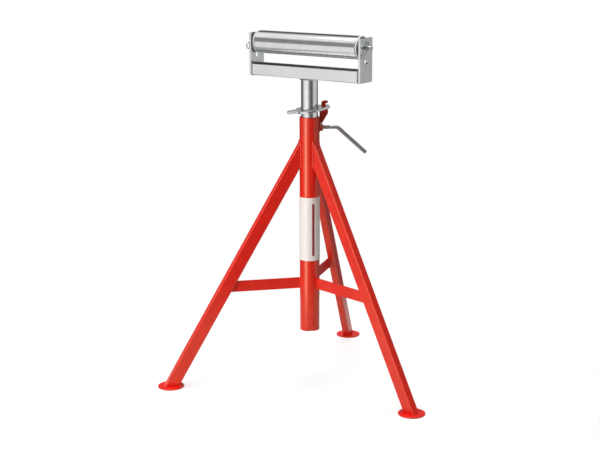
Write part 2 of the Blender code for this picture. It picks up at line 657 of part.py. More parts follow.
def build_head(mast_empty):
    """The U-channel and its ears, with the beads that join them and the mast."""
    half_width = HEAD_WIDTH / 2
    channel_half = EAR_INNER - GAP
    inside = half_width - CHANNEL_WALL
    corner = CHANNEL_CORNER
    points = [(-half_width, CHANNEL_HEIGHT), (-half_width, 0.0), (half_width, 0.0), (half_width, CHANNEL_HEIGHT),
              (inside, CHANNEL_HEIGHT), (inside, CHANNEL_WALL), (-inside, CHANNEL_WALL), (-inside, CHANNEL_HEIGHT)]
    inner_corner = corner - CHANNEL_WALL
    outline = rounded(points, [0.0, corner, corner, 0.0, 0.0, inner_corner, inner_corner, 0.0])
    matrix = Matrix.Translation((POST_X, POST_Y, HEAD_BOTTOM))
    section = Matrix.Rotation(math.pi / 2, 4, "Z") @ Matrix.Rotation(math.pi / 2, 4, "X")
    flat_piece("head_channel", [outline], channel_half * 2, zinc_plate("channel_zinc"), matrix @ section, mast_empty)
    bead_corners = rounded([(-half_width, CHANNEL_HEIGHT), (-half_width, 0.0), (half_width, 0.0),
                            (half_width, CHANNEL_HEIGHT)], [0.0, corner, corner, 0.0])
    outside = rounded([(-half_width - GAP, CHANNEL_HEIGHT + EAR_HEIGHT), (-half_width - GAP, -GAP),
                       (half_width + GAP, -GAP), (half_width + GAP, CHANNEL_HEIGHT + EAR_HEIGHT)],
                      [0.0, corner, corner, 0.0])
    channel_outside = as_cutter(flat_piece("channel_outside_cutter", [outside], channel_half * 2, None,
                                           matrix @ section, collection=CUTTERS))
    hole = AXLE_RADIUS + GAP
    axle_centre = (0.0, EAR_HEIGHT - AXLE_DROP)
    spare_centre = (0.0, EAR_HEIGHT - AXLE_DROP - SPARE_HOLE_DROP)
    ear_corners = [(-half_width, 0.0), (half_width, 0.0), (half_width, EAR_HEIGHT), (-half_width, EAR_HEIGHT)]
    ear_outline = rounded(ear_corners, [EAR_EDGE] * 4)
    for side, name in ((-1, "left"), (1, "right")):
        spot = Matrix.Translation((side * (EAR_INNER + EAR_THICKNESS / 2), 0.0, 0.0))
        flat_piece("ear_" + name, [ear_outline, circle_points(hole, axle_centre), circle_points(hole, spare_centre)],
                   EAR_THICKNESS, zinc_plate("ear_" + name + "_zinc"), matrix @ spot @ section, mast_empty)
        bead_spot = Matrix.Translation((side * (EAR_INNER - WELD_EAR_INSET), 0.0, 0.0))
        bead = wire("weld_ear_" + name, [(y, z, 0.0) for y, z in bead_corners], WELD_EAR,
                    zinc_plate("weld_ear_" + name + "_zinc"), matrix @ bead_spot @ section, mast_empty, resolution=2)
        cut(bead, channel_outside)
    ring_top = HEAD_BOTTOM - GAP
    ring_inner = MAST_RADIUS + GAP
    bulge = WELD_MAST * WELD_MAST_BULGE_SHARE
    turned("weld_mast_top", [(ring_inner + WELD_MAST, ring_top), (ring_inner + bulge, ring_top - bulge),
                             (ring_inner, ring_top - WELD_MAST), (ring_inner, ring_top)],
           zinc_plate("weld_mast_zinc"), Matrix.Translation((POST_X, POST_Y, 0.0)), mast_empty)


def clip_points():
    """Centre line of a hairpin clip across the axle: straight leg, loop, then the leg that hugs the axle."""
    hug = AXLE_RADIUS + GAP + CLIP_WIRE / 2
    points = [(-AXLE_RADIUS - CLIP_TAIL, 0.0), (CLIP_REACH, 0.0)]
    loop_steps = 2 * ARC_POINTS
    for step in range(1, loop_steps + 1):
        turn = CLIP_LOOP_SWEEP * step / loop_steps - math.pi / 2
        points.append((CLIP_REACH + CLIP_LOOP_RADIUS * math.cos(turn),
                       CLIP_LOOP_RADIUS + CLIP_LOOP_RADIUS * math.sin(turn)))
    for step in range(loop_steps + 1):
        turn = CLIP_HUG_START + (math.pi - 2 * CLIP_HUG_START) * step / loop_steps
        points.append((hug * math.cos(turn), hug * math.sin(turn)))
    last = points[-1]
    points.append((last[0] - CLIP_FLARE * math.cos(CLIP_FLARE_ANGLE), last[1] + CLIP_FLARE * math.sin(CLIP_FLARE_ANGLE)))
    return points


def build_axle(mast_empty):
    """The axle and the hairpin clips through its ends."""
    end = EAR_OUTER + AXLE_OVERHANG
    axle = turned("axle", rod_profile(AXLE_RADIUS, -end, end, AXLE_CHAMFER), zinc_plate("axle_steel"), along_x(),
                  mast_empty, segments=SMALL_SEGMENTS, closed=False)
    clip_x = EAR_OUTER + CLIP_STAND_OFF
    for side, name, droop in zip((-1, 1), ("left", "right"), CLIP_DROOPS):
        spot = Matrix.Translation((POST_X + side * clip_x, POST_Y, ROLLER_HEIGHT))
        frame = spot @ Matrix.Rotation(droop, 4, "X") @ Matrix.Rotation(-math.pi / 2, 4, "Z")
        along = frame @ Matrix.Rotation(math.pi / 2, 4, "Y")
        cut(axle, bar_cutter("clip_hole_cutter_" + name, CLIP_WIRE / 2 + GAP, -AXLE_DIAMETER, AXLE_DIAMETER, along))
        points = [(x, 0.0, z) for x, z in clip_points()]
        wire("clip_" + name, points, CLIP_WIRE / 2, new_material("clip_steel", (0.5, 0.5, 0.52), 0.35, 1.0), frame,
             mast_empty, resolution=2)


def build_roller(mast_empty):
    """The roller's shell, bearing housings and races, and the hubs on the axle."""
    spin = new_empty("roller_axis", along_x(), mast_empty)
    half = ROLLER_LENGTH / 2
    inner = ROLLER_RADIUS - ROLLER_WALL
    turns = [math.pi / 2 * step / ARC_POINTS for step in range(ARC_POINTS + 1)]
    end = [(inner + ROLLER_WALL * math.sin(turn), half - ROLLER_WALL * (1 - math.cos(turn))) for turn in turns]
    turned("roller_shell", end + [(radius, -height) for radius, height in reversed(end)],
           zinc_plate("roller_zinc"), along_x(), spin)
    bearing_radius = BEARING_DIAMETER / 2
    face = half - HOUSING_SHEET / 2
    outer = inner - GAP
    cup = bearing_radius + GAP
    sheet = HOUSING_SHEET
    dish = HOUSING_DISH
    housing = [(outer, face), (outer, face - HOUSING_DEPTH), (outer - sheet, face - HOUSING_DEPTH),
               (outer - sheet, face - sheet), (cup + sheet + dish, face - sheet), (cup + sheet, face - sheet - dish),
               (cup + sheet, face - dish - sheet - BEARING_WIDTH), (cup, face - dish - sheet - BEARING_WIDTH),
               (cup, face - dish), (cup + dish, face)]
    race_top = face - dish
    race_low = race_top - BEARING_WIDTH
    hub_radius = HUB_DIAMETER / 2
    race = [(bearing_radius, race_top), (bearing_radius, race_low), (hub_radius + GAP, race_low),
            (hub_radius + GAP, race_top)]
    hub = [(hub_radius, EAR_INNER - GAP), (hub_radius, race_low), (AXLE_RADIUS + GAP, race_low),
           (AXLE_RADIUS + GAP, EAR_INNER - GAP)]
    for side, name in ((-1, "left"), (1, "right")):
        matrix = along_x() if side > 0 else along_x() @ Matrix.Rotation(math.pi, 4, "X")
        turned("bearing_housing_" + name, housing, zinc_plate("housing_" + name), matrix, spin)
        turned("bearing_race_" + name, race, zinc_plate("race_" + name), matrix, spin, segments=SMALL_SEGMENTS)
        turned("bearing_hub_" + name, hub, zinc_plate("hub_" + name), matrix, mast_empty, segments=SMALL_SEGMENTS)


def build_label():
    """The plain wrap on the post, open at its seam behind."""
    inner = POST_RADIUS + GAP
    outer = inner + LABEL_THICKNESS
    low = BRACE_BOTTOM + BRACE_HEIGHT + LABEL_BRACE_ROOM
    high = leg_inner_height(POST_RADIUS) - LABEL_LEG_ROOM
    profile = tube_profile(outer, inner, low, high)
    wrap = turned("label_wrap", profile, new_material("label_white", (0.85, 0.85, 0.84), 0.45, 0.0),
                  Matrix.Translation((POST_X, POST_Y, 0.0)))
    half_seam = outer * math.sin(LABEL_SEAM / 2)
    seam = box("label_seam_cutter", (0.0, -half_seam, low - CUT_OVERRUN), (outer + CUT_OVERRUN, half_seam,
               high + CUT_OVERRUN), None, radial_matrix(LEG_AZIMUTHS[-1], 0.0, 0.0), collection=CUTTERS)
    cut(wrap, as_cutter(seam))


clear_scene()
PARTS = new_collection("conveyor_roller_stand")
CUTTERS = new_collection("cutters")

post_outside = bar_cutter("post_outside_cutter", POST_RADIUS + GAP, -CUT_OVERRUN, POST_TOP + POST_LENGTH,
                          Matrix.Translation((POST_X, POST_Y, 0.0)), ROUND_SEGMENTS)
build_post()
build_legs(post_outside)
build_feet()
build_braces(post_outside)
build_bracket(post_outside)
build_release_plate()
build_lock(post_outside)
plug_empty = new_empty("mast_slide_axis", Matrix.Translation((POST_X, POST_Y, MAST_BOTTOM)))
mast_empty = new_empty("mast_swivel_axis", Matrix.Translation((POST_X, POST_Y, MAST_BOTTOM)), plug_empty)
build_mast(mast_empty, plug_empty)
build_head(mast_empty)
build_axle(mast_empty)
build_roller(mast_empty)
build_label()
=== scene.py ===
"""Conveyor roller stand: the look of every piece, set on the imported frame. Metres, +Z up, the floor at zero.

The sections follow the stand as it is put together: view and studio, post, legs, feet, braces, hook bracket,
clamp nut, wrap, lock screw, mast, release plate, head, roller, axle and clips.
"""
import math

import bmesh
import bpy
import numpy as np
from mathutils import Matrix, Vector
from mathutils.geometry import tessellate_polygon


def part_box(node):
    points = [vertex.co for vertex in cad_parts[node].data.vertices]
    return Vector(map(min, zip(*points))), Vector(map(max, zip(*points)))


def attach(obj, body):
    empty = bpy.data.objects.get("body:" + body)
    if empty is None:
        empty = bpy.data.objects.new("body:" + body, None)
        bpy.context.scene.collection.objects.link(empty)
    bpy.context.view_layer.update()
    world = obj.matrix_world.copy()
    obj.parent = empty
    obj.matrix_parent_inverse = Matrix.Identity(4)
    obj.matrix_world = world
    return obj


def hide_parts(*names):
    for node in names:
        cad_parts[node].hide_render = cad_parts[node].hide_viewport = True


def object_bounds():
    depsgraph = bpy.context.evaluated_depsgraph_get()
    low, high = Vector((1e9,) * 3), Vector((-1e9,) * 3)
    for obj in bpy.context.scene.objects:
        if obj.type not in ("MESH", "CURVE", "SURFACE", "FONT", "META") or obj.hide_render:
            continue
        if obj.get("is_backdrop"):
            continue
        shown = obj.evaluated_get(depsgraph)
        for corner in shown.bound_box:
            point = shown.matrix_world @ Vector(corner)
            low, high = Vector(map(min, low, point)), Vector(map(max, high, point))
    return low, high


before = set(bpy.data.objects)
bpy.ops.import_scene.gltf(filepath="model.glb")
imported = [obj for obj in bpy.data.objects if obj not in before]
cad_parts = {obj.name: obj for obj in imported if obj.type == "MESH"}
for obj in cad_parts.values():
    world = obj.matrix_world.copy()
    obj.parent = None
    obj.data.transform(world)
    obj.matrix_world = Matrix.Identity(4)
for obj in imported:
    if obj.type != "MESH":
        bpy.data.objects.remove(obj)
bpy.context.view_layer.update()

# The view: a long lens a little above the roller, in front of it and to its right. The post's axis is the
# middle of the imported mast, and every place below is taken from it.
mast_low, mast_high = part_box("mast_tube")
AXIS = np.array([(mast_low.x + mast_high.x) / 2, (mast_low.y + mast_high.y) / 2, 0.0])
VIEW_AZIMUTH = math.radians(-54.68)
VIEW_DISTANCE = 3.2098
VIEW_HEIGHT = 1.1638
VIEW_HEADING = math.radians(125.762)
VIEW_PITCH = math.radians(13.254)
VIEW_ROLL = math.radians(-0.19)
VIEW_LENS = 77.23
VIEW_SENSOR = 36.0

lens = bpy.data.cameras.new("view")
lens.lens = VIEW_LENS
lens.sensor_width = VIEW_SENSOR
camera = bpy.data.objects.new("view", lens)
camera.location = (AXIS[0] + VIEW_DISTANCE * math.cos(VIEW_AZIMUTH),
                   AXIS[1] + VIEW_DISTANCE * math.sin(VIEW_AZIMUTH), VIEW_HEIGHT)
camera.rotation_euler = (Matrix.Rotation(VIEW_HEADING - math.pi / 2, 3, "Z")
                         @ Matrix.Rotation(math.pi / 2 - VIEW_PITCH, 3, "X")
                         @ Matrix.Rotation(VIEW_ROLL, 3, "Z")).to_euler()
bpy.context.scene.collection.objects.link(camera)
bpy.context.scene.camera = camera
bpy.context.scene.view_settings.view_transform = "Standard"

# The studio: a round white floor, light walls with dark gaps between them, a tall soft lamp at the front left
# and a wide one overhead. The floor and the walls are plain white to the eye, and the floor keeps the shadow.
FLOOR_RADIUS = 0.75
FLOOR_DROP = 0.0004
FLOOR_RINGS = 8
FLOOR_SIDES = 96
FLOOR_PAPER = (0.50, 0.50, 0.4925, 1.0)
FLOOR_GLOW = 0.53
FLOOR_SHINE = 0.24
ROOM_LIGHT = 0.16
ROOM_SHARE = 0.50
# The walls as metal mirrors them: degrees from the camera's side towards its right, and the light there.
WALL_STOPS = ((-180, 0.20), (-152, 0.20), (-134, 0.08), (-114, 0.06), (-93, 0.40), (-76, 0.76), (-56, 0.92),
              (-48, 1.0), (-36, 1.0), (-28, 0.88), (-15, 0.64), (-3, 0.30), (10, 0.15), (24, 0.11),
              (36, 0.11), (50, 0.34), (64, 0.60), (102, 0.56), (124, 0.22), (140, 0.08), (155, 0.20),
              (180, 0.20))
LIT_WALL = (0.2, 0.5)
BACKDROP = 0.45
BACKDROP_SIDE = (0.93, 0.98)
BACKDROP_LOW = (0.0, 0.08)
BACKDROP_TOP = (0.25, 0.42)
UPPER_SHARE = 0.30
UPPER_LEAST = 0.05
WALL_TOP = (-0.02, 0.10)
CEILING_EDGE = (0.48, 0.70)
CEILING_BACK = (-0.80, -0.38)
CEILING = 0.94
SWEEP = 0.90
SWEEP_EDGE = (0.08, 0.40)
SWEEP_SHARE = 0.60
SKIRTING = 0.40
SKIRTING_EDGE = (0.61, 0.71)
SAME_PLACE = 0.000001
SHARP_EDGE = math.radians(32)


def grey(level):
    """A neutral colour."""
    return level, level, level, 1.0


class Term:
    """One value in the formula of a finish: the socket of a node. Sums on it add Math nodes."""

    def __init__(self, finish, socket):
        self.finish = finish
        self.socket = socket

    def math(self, operation, *terms):
        return self.finish.node("Math", {"operation": operation}, dict(enumerate(terms)))

    def __add__(self, other):
        return self.math("ADD", self, other)

    def __sub__(self, other):
        return self.math("SUBTRACT", self, other)

    def __rsub__(self, other):
        return self.math("SUBTRACT", other, self)

    def __mul__(self, other):
        return self.math("MULTIPLY", self, other)

    def __truediv__(self, other):
        return self.math("DIVIDE", self, other)

    __radd__ = __add__
    __rmul__ = __mul__


class Finish:
    """The nodes of one material, or of the room's walls."""

    def __init__(self, tree):
        self.tree = tree

    def node(self, kind, settings=None, sockets=None, output=0):
        """Adds a node of a kind, with its settings first and then the values or links of its sockets."""
        made = self.tree.nodes.new("ShaderNode" + kind)
        for key, value in (settings or {}).items():
            if key != "stops":
                setattr(made, key, value)
                continue
            elements = made.color_ramp.elements
            while len(elements) < len(value):
                elements.new(1.0)
            for element, (spot, level) in zip(elements, value):
                element.position = spot
                element.color = grey(level)
        self.feed(made, sockets or {})
        return Term(self, made.outputs[output]) if len(made.outputs) else None

    def feed(self, node, sockets):
        """Sets a node's sockets to values, or links them to terms."""
        for key, value in sockets.items():
            if isinstance(value, Term):
                self.tree.links.new(value.socket, node.inputs[key])
            else:
                node.inputs[key].default_value = value

    def step(self, value, low, high):
        """0 below low, 1 above high, and an S curve between them."""
        return self.node("MapRange", {"interpolation_type": "SMOOTHSTEP"},
                         {"Value": value, "From Min": low, "From Max": high})

    def mix(self, first, second, share):
        """A colour that goes from the first to the second as share goes from 0 to 1."""
        return self.node("Mix", {"data_type": "RGBA"}, {0: share, 6: first, 7: second}, 2)

    def seen(self):
        """1 for what the eye sees, straight, in metal or through glass, and 0 for light on the pieces."""
        eye, metal, glass = (self.node("LightPath", output=f"Is {ray} Ray")
                             for ray in ("Camera", "Glossy", "Transmission"))
        return eye.math("MAXIMUM", eye, eye.math("MAXIMUM", metal, glass))


def round_turn(count):
    """The angles of a full turn in equal steps."""
    return np.arange(count) * (math.tau / count)


def circled(radius, angle):
    """Points (r cos a, r sin a)."""
    return np.stack([radius * np.cos(angle), radius * np.sin(angle)], axis=-1)


def grid_faces(rows, columns, rows_close=False, columns_close=True):
    """Corner numbers of a grid's faces: (i, j), (i, j+1), (i+1, j+1) and (i+1, j), closed where asked."""
    number = np.arange(rows * columns).reshape(rows, columns)
    if rows_close:
        number = np.vstack([number, number[:1]])
    if columns_close:
        number = np.hstack([number, number[:, :1]])
    corners = [number[:-1, :-1], number[:-1, 1:], number[1:, 1:], number[1:, :-1]]
    return np.stack(corners, axis=-1).reshape(-1, 4)


def new_mesh(name, points, faces, material):
    """Makes a mesh object in place: doubles merged, faces outwards, smooth up to its sharp edges."""
    mesh = bpy.data.meshes.new(name)
    corners = np.asarray(points, float).reshape(-1, 3).tolist()
    mesh.from_pydata(corners, [], [list(map(int, face)) for face in faces])
    shape = bmesh.new()
    shape.from_mesh(mesh)
    bmesh.ops.remove_doubles(shape, verts=shape.verts, dist=SAME_PLACE)
    bmesh.ops.recalc_face_normals(shape, faces=shape.faces)
    shape.to_mesh(mesh)
    shape.free()
    mesh.shade_smooth()
    mesh.set_sharp_from_angle(angle=SHARP_EDGE)
    mesh.materials.append(material)
    item = bpy.data.objects.new(name, mesh)
    bpy.context.scene.collection.objects.link(item)
    return item


floor_paint = bpy.data.materials.new("floor_paper")
floor_paint.use_nodes = True
floor_paint.node_tree.nodes.clear()
paper = Finish(floor_paint.node_tree)
plain = paper.node("BsdfDiffuse", sockets={"Color": FLOOR_PAPER})
eye = paper.node("LightPath", output="Is Camera Ray")
shine = eye * FLOOR_GLOW + (paper.seen() - eye) * FLOOR_SHINE
glow = paper.node("Emission", sockets={"Color": grey(1.0), "Strength": shine})
paper.node("OutputMaterial", sockets={"Surface": paper.node("AddShader", sockets={0: plain, 1: glow})})

reach = np.linspace(0.0, FLOOR_RADIUS, FLOOR_RINGS)[:, None]
floor_grid = circled(reach, round_turn(FLOOR_SIDES))
floor_grid = AXIS + np.concatenate([floor_grid, np.full_like(floor_grid[..., :1], -FLOOR_DROP)], axis=-1)
floor = new_mesh("floor", floor_grid, grid_faces(FLOOR_RINGS, FLOOR_SIDES), floor_paint)
floor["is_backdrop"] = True

world = bpy.data.worlds.new("room")
bpy.context.scene.world = world
world.use_nodes = True
world.node_tree.nodes.clear()
room = Finish(world.node_tree)
towards = room.node("TexCoord", output="Generated")
sideways = (-math.sin(VIEW_AZIMUTH), math.cos(VIEW_AZIMUTH), 0.0)
forwards = (math.cos(VIEW_AZIMUTH), math.sin(VIEW_AZIMUTH), 0.0)
aside, ahead, upwards = (room.node("VectorMath", {"operation": "DOT_PRODUCT"}, {0: towards, 1: way}, "Value")
                         for way in (sideways, forwards, (0.0, 0.0, 1.0)))
bearing = aside.math("ARCTAN2", aside, ahead) / math.tau + 0.5
stops = [(0.5 + spot / 360, level) for spot, level in WALL_STOPS]
walls = room.node("ValToRGB", {"stops": stops}, {"Fac": bearing})
darker = room.mix(grey(UPPER_LEAST), walls, UPPER_SHARE)
sweep = room.step(0.0 - upwards, *SWEEP_EDGE) * room.step(walls, *LIT_WALL) * SWEEP_SHARE
lower = room.mix(walls, grey(SWEEP), sweep)
lower = room.mix(lower, grey(SKIRTING), room.step(0.0 - upwards, *SKIRTING_EDGE))
upper = room.mix(lower, darker, room.step(upwards, *WALL_TOP))
above = room.step(upwards, *CEILING_EDGE) * room.step(ahead, *CEILING_BACK)
covered = room.mix(upper, grey(CEILING), above)
behind = room.step(0.0 - ahead, *BACKDROP_SIDE) * room.step(upwards, *BACKDROP_LOW) \
    * (1 - room.step(upwards, *BACKDROP_TOP))
whole = room.mix(covered, grey(BACKDROP), behind)
soft = room.mix(grey(ROOM_LIGHT), whole, room.seen() * (1 - ROOM_SHARE) + ROOM_SHARE)
shown = room.mix(soft, grey(1.0), room.node("LightPath", output="Is Camera Ray"))
room.node("OutputWorld", sockets={"Surface": room.node("Background", sockets={"Color": shown})})


def soft_lamp(name, azimuth, distance, height, wide, tall, power, aim):
    """A soft box at an azimuth and height round the post, turned to a point on the post's axis."""
    lamp = bpy.data.lights.new(name, "AREA")
    lamp.shape = "RECTANGLE"
    lamp.size = wide
    lamp.size_y = tall
    lamp.energy = power
    item = bpy.data.objects.new(name, lamp)
    item.location = (AXIS[0] + distance * math.cos(azimuth), AXIS[1] + distance * math.sin(azimuth), height)
    item.rotation_euler = (math.atan2(distance, height - aim), 0.0, azimuth + math.pi / 2)
    item.visible_camera = False
    bpy.context.scene.collection.objects.link(item)
    return item


# The tall lamp lights the floor and the dull finishes. Bare metal mirrors the white wall behind it instead,
# because the lamp's own image would burn its flat faces out.
tall_lamp = soft_lamp("tall_lamp", math.radians(-98.5), distance=2.3, height=0.95, wide=1.1, tall=3.0,
                      power=44.0, aim=0.8)
soft_lamp("top_lamp", math.radians(160), distance=0.25, height=2.7, wide=1.5, tall=1.5, power=27.0, aim=0.5)
lit_pieces = bpy.data.collections.new("lit_by_tall_lamp")
lit_pieces.objects.link(floor)
tall_lamp.light_linking.receiver_collection = lit_pieces

# The post: a 2 inch steel tube in glossy red enamel. Its lower edge is pressed in at three places, which
# stops the mast's plug, and a hole behind the nut lets the lock screw through.
POST_RADIUS = 0.0254
POST_WALL = 0.003
POST_EDGE = 0.0006
POST_SIDES = 144
DENT_COUNT = 3
DENT_AZIMUTH = math.radians(-47)
DENT_WIDTH = 0.025
DENT_HALF_ANGLE = DENT_WIDTH / 2 / POST_RADIUS
DENT_HEIGHT = 0.0195
DENT_DEPTH = 0.0035
DENT_ROWS = 14
HOOK_AZIMUTH = math.radians(41)
LOCK_DROP = 0.0272
LOCK_HOLE = 0.00515
LOCK_HOLE_FIELD = 0.0066
LOCK_HOLE_COLUMNS = 6
LOCK_HOLE_START = math.radians(-135)
FIT = 0.0003
PAINTED = ("stand", "red_paint")
MATT_SLOTS = ("red_paint", "label_film", "plug_plastic", "housing_zinc")
RED = (0.80, 0.0165, 0.010, 1.0)
RED_DEEP = (0.74, 0.0135, 0.009, 1.0)
# Patches of a finish: how many to a metre, and between which levels of the noise they fade in.
COAT_PATCHES = (38.0, 0.35, 0.65)
DUST_PATCHES = (120.0, 0.45, 0.75, 5.0)
PEEL = (420.0, 1.0)
PEEL_DEPTH = 0.00004
PEEL_SHARE = 0.12
ENAMEL_ROUGH = 0.22
DUST_ROUGH = 0.03
ENAMEL_GLAZE = {"Specular Tint": (1.0, 0.80, 0.48, 1.0), "Specular IOR Level": 0.80, "Coat Weight": 0.04,
                "Coat Roughness": 0.10}


def new_material(name, metallic=0.0):
    """A material, the finish to mix on, its Principled shader and the place on the piece."""
    material = bpy.data.materials.new(name)
    material.use_nodes = True
    shader = material.node_tree.nodes["Principled BSDF"]
    shader.inputs["Metallic"].default_value = metallic
    finish = Finish(material.node_tree)
    return material, finish, shader, finish.node("TexCoord", output="Object")


def noise(finish, where, scale, detail=3.0, roughness=0.5):
    """Cloudy variation about 0.5, with features of about 1 / scale metres."""
    return finish.node("TexNoise", sockets={"Vector": where, "Scale": scale, "Detail": detail,
                                            "Roughness": roughness})


def patches(finish, where, scale, low, high, detail=3.0):
    """Soft patches of about 1 / scale metres: 0 where the noise is below low, 1 where it is above high."""
    return finish.step(noise(finish, where, scale, detail), low, high)


def bump(finish, height, depth, strength=1.0):
    """A normal tilted by a height pattern whose full range is depth metres."""
    return finish.node("Bump", sockets={"Height": height, "Distance": depth, "Strength": strength})


def enamel(name, bright=RED, deep=RED_DEEP):
    """Sprayed gloss enamel: a fine orange peel, a slightly uneven coat, and dust dulling it in patches."""
    material, finish, shader, where = new_material(name)
    finish.feed(shader, {"Base Color": finish.mix(deep, bright, patches(finish, where, *COAT_PATCHES)),
                         "Roughness": ENAMEL_ROUGH + patches(finish, where, *DUST_PATCHES) * DUST_ROUGH,
                         "Normal": bump(finish, noise(finish, where, *PEEL), PEEL_DEPTH, PEEL_SHARE),
                         **ENAMEL_GLAZE})
    return material


def add_piece(name, points, faces, material, body, slot, *nodes):
    """Makes a piece on its body, lit by the tall lamp where its slot is a dull finish, in place of the CAD
    nodes that it shows.
    """
    item = new_mesh(name, points, faces, material)
    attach(item, body)
    if slot in MATT_SLOTS:
        lit_pieces.objects.link(item)
    if nodes:
        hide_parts(*nodes)


def rounded(corners, radii, steps=6):
    """Rounds an outline's corners: an arc touches both sides at radius / tan(half angle) from the corner,
    about a centre at radius / sin(half angle). A short straight beside each arc keeps the flats flat."""
    corners = np.asarray(corners, float)
    to_last = np.roll(corners, 1, axis=0) - corners
    to_next = np.roll(corners, -1, axis=0) - corners
    side = np.linalg.norm(to_next, axis=1)
    before = to_last / np.roll(side, 1)[:, None]
    after = to_next / side[:, None]
    half = np.arccos(np.clip((before * after).sum(1), -1.0, 1.0)) / 2
    radii = np.broadcast_to(radii, len(corners)).astype(float)
    reach = radii / np.tan(half)
    free = side - reach - np.roll(reach, -1)
    share = np.linspace(0.0, 1.0, steps + 1)[:, None]
    outline = []
    for index, radius in enumerate(radii):
        corner = corners[index]
        if radius == 0.0:
            outline.append(corner[None])
            continue
        sweep = math.pi - 2 * half[index]
        middle = before[index] + after[index]
        centre = corner + middle / np.linalg.norm(middle) * radius / math.sin(half[index])
        start = corner + before[index] * reach[index] - centre
        end = corner + after[index] * reach[index] - centre
        arc = centre + (np.sin((1 - share) * sweep) * start + np.sin(share * sweep) * end) / math.sin(sweep)
        pre = reach[index] + min(radius / 5, free[index - 1] / 3)
        post = reach[index] + min(radius / 5, free[index] / 3)
        outline += [(corner + before[index] * pre)[None], arc, (corner + after[index] * post)[None]]
    return np.vstack(outline)


def tube_section(outer, inner, low, high, edges, steps=4):
    """A tube's wall as (radius, height): down its outer face and up its inner one, with rounded edges."""
    return rounded([(outer, high), (outer, low), (inner, low), (inner, high)], edges, steps)


def bar_section(radius, low, high, edges, steps):
    """A solid bar's half section as (radius, height): out from its axis, down and back, edges rounded."""
    return rounded([(0.0, high), (radius, high), (radius, low), (0.0, low)], [0.0, *edges, 0.0], steps)


def axes(origin, across, up):
    """A drawing plane in the stand: its origin, its two directions and the one square to both."""
    across = np.asarray(across, float)
    up = np.asarray(up, float)
    return np.asarray(origin, float), np.stack([across, up, np.cross(across, up)])


def placed(points, plane):
    """Carries points (x, y, z) of a drawing plane to the stand: origin + x * across + y * up + z * square."""
    return plane[0] + np.asarray(points) @ plane[1]


def radial(azimuth, radius=0.0, height=0.0):
    """A point at a radius and height round the post, with the outward and the sideways directions there."""
    out = np.array([math.cos(azimuth), math.sin(azimuth), 0.0])
    return AXIS + out * radius + np.array([0.0, 0.0, height]), out, np.array([-out[1], out[0], 0.0])


def turned(profile, sides):
    """A turned shape: each point (radius, height) of the profile goes round as (r cos a, r sin a, h). One
    that starts on the axis stays open, and any other is closed."""
    profile = np.asarray(profile, float)
    angle = round_turn(sides)
    grid = np.stack([profile[:, :1] * np.cos(angle), profile[:, :1] * np.sin(angle),
                     np.repeat(profile[:, 1:], sides, axis=1)], axis=-1)
    return grid, grid_faces(len(profile), sides, profile[0, 0] > 0.0)


def add_turned(name, section, sides, plane, *making):
    """Adds a piece turned round a plane's square direction."""
    grid, faces = turned(section, sides)
    add_piece(name, placed(grid, plane), faces, *making)


def drilled(grid, faces, walls, height):
    """Drills a turned tube where its first column stands. On each wall, whose radius is R, a square field of
    faces round the hole is taken out and filled up to the ring (square root of R squared - (r cos a) squared,
    r cos a, height + r sin a), and a tunnel joins the two rings."""
    sides = grid.shape[1]
    columns = np.arange(-LOCK_HOLE_COLUMNS, LOCK_HOLE_COLUMNS + 1) % sides
    number = np.arange(grid.shape[0] * sides).reshape(-1, sides)
    kept = np.ones((len(faces) // sides, sides), bool)
    points, rings, added = [grid.reshape(-1, 3)], [], []
    for wall in walls:
        rows = np.where((abs(grid[:, 0, 0] - wall) < SAME_PLACE)
                        & (abs(grid[:, 0, 2] - height) < LOCK_HOLE_FIELD + SAME_PLACE))[0]
        kept[np.ix_(np.arange(rows.min(), rows.max()), columns[:-1])] = False
        field = number[np.ix_(rows[np.argsort(grid[rows, 0, 2])], columns)]
        edge = np.concatenate([field[0, :-1], field[:-1, -1], field[-1, :0:-1], field[:0:-1, 0]])
        turn = LOCK_HOLE_START + round_turn(len(edge))
        aside = LOCK_HOLE * np.cos(turn)
        ring = sum(len(block) for block in points) + np.arange(len(edge))
        rise = height + LOCK_HOLE * np.sin(turn)
        points.append(np.stack([np.sqrt(wall ** 2 - aside ** 2), aside, rise], axis=1))
        added.append(np.stack([edge, np.roll(edge, -1), np.roll(ring, -1), ring], axis=1))
        rings.append(ring)
    added.append(np.stack([rings[0], np.roll(rings[0], -1), np.roll(rings[1], -1), rings[1]], axis=1))
    used, faces = np.unique(np.vstack([faces[kept.reshape(-1)]] + added), return_inverse=True)
    return np.vstack(points)[used], faces.reshape(-1, 4)


UPRIGHT = axes(AXIS, (1, 0, 0), (0, 1, 0))
UP = np.array([0.0, 0.0, 1.0])

post_low, post_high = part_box("post_tube")
bore = POST_RADIUS - POST_WALL
LOCK_HEIGHT = post_high.z - LOCK_DROP
section = tube_section(POST_RADIUS, bore, post_low.z, post_high.z, POST_EDGE)
hole_rows = np.linspace(-LOCK_HOLE_FIELD, LOCK_HOLE_FIELD, 2 * LOCK_HOLE_COLUMNS + 1)
rows = np.concatenate([post_low.z + np.linspace(0.0, DENT_HEIGHT, DENT_ROWS)[2:], LOCK_HEIGHT + hole_rows])
profile = []
for spot, following in zip(section, np.roll(section, -1, axis=0)):
    profile.append(spot)
    if abs(following[1] - spot[1]) > (post_high.z - post_low.z) / 2:
        heights = rows[::-1] if following[1] < spot[1] else rows
        profile += [np.array([spot[0], height]) for height in heights]
grid, faces = turned(profile, POST_SIDES)
angle = np.arctan2(grid[..., 1], grid[..., 0]) + HOOK_AZIMUTH
step = math.tau / DENT_COUNT
from_dent = (angle - DENT_AZIMUTH + step / 2) % step - step / 2
above = grid[..., 2] - post_low.z
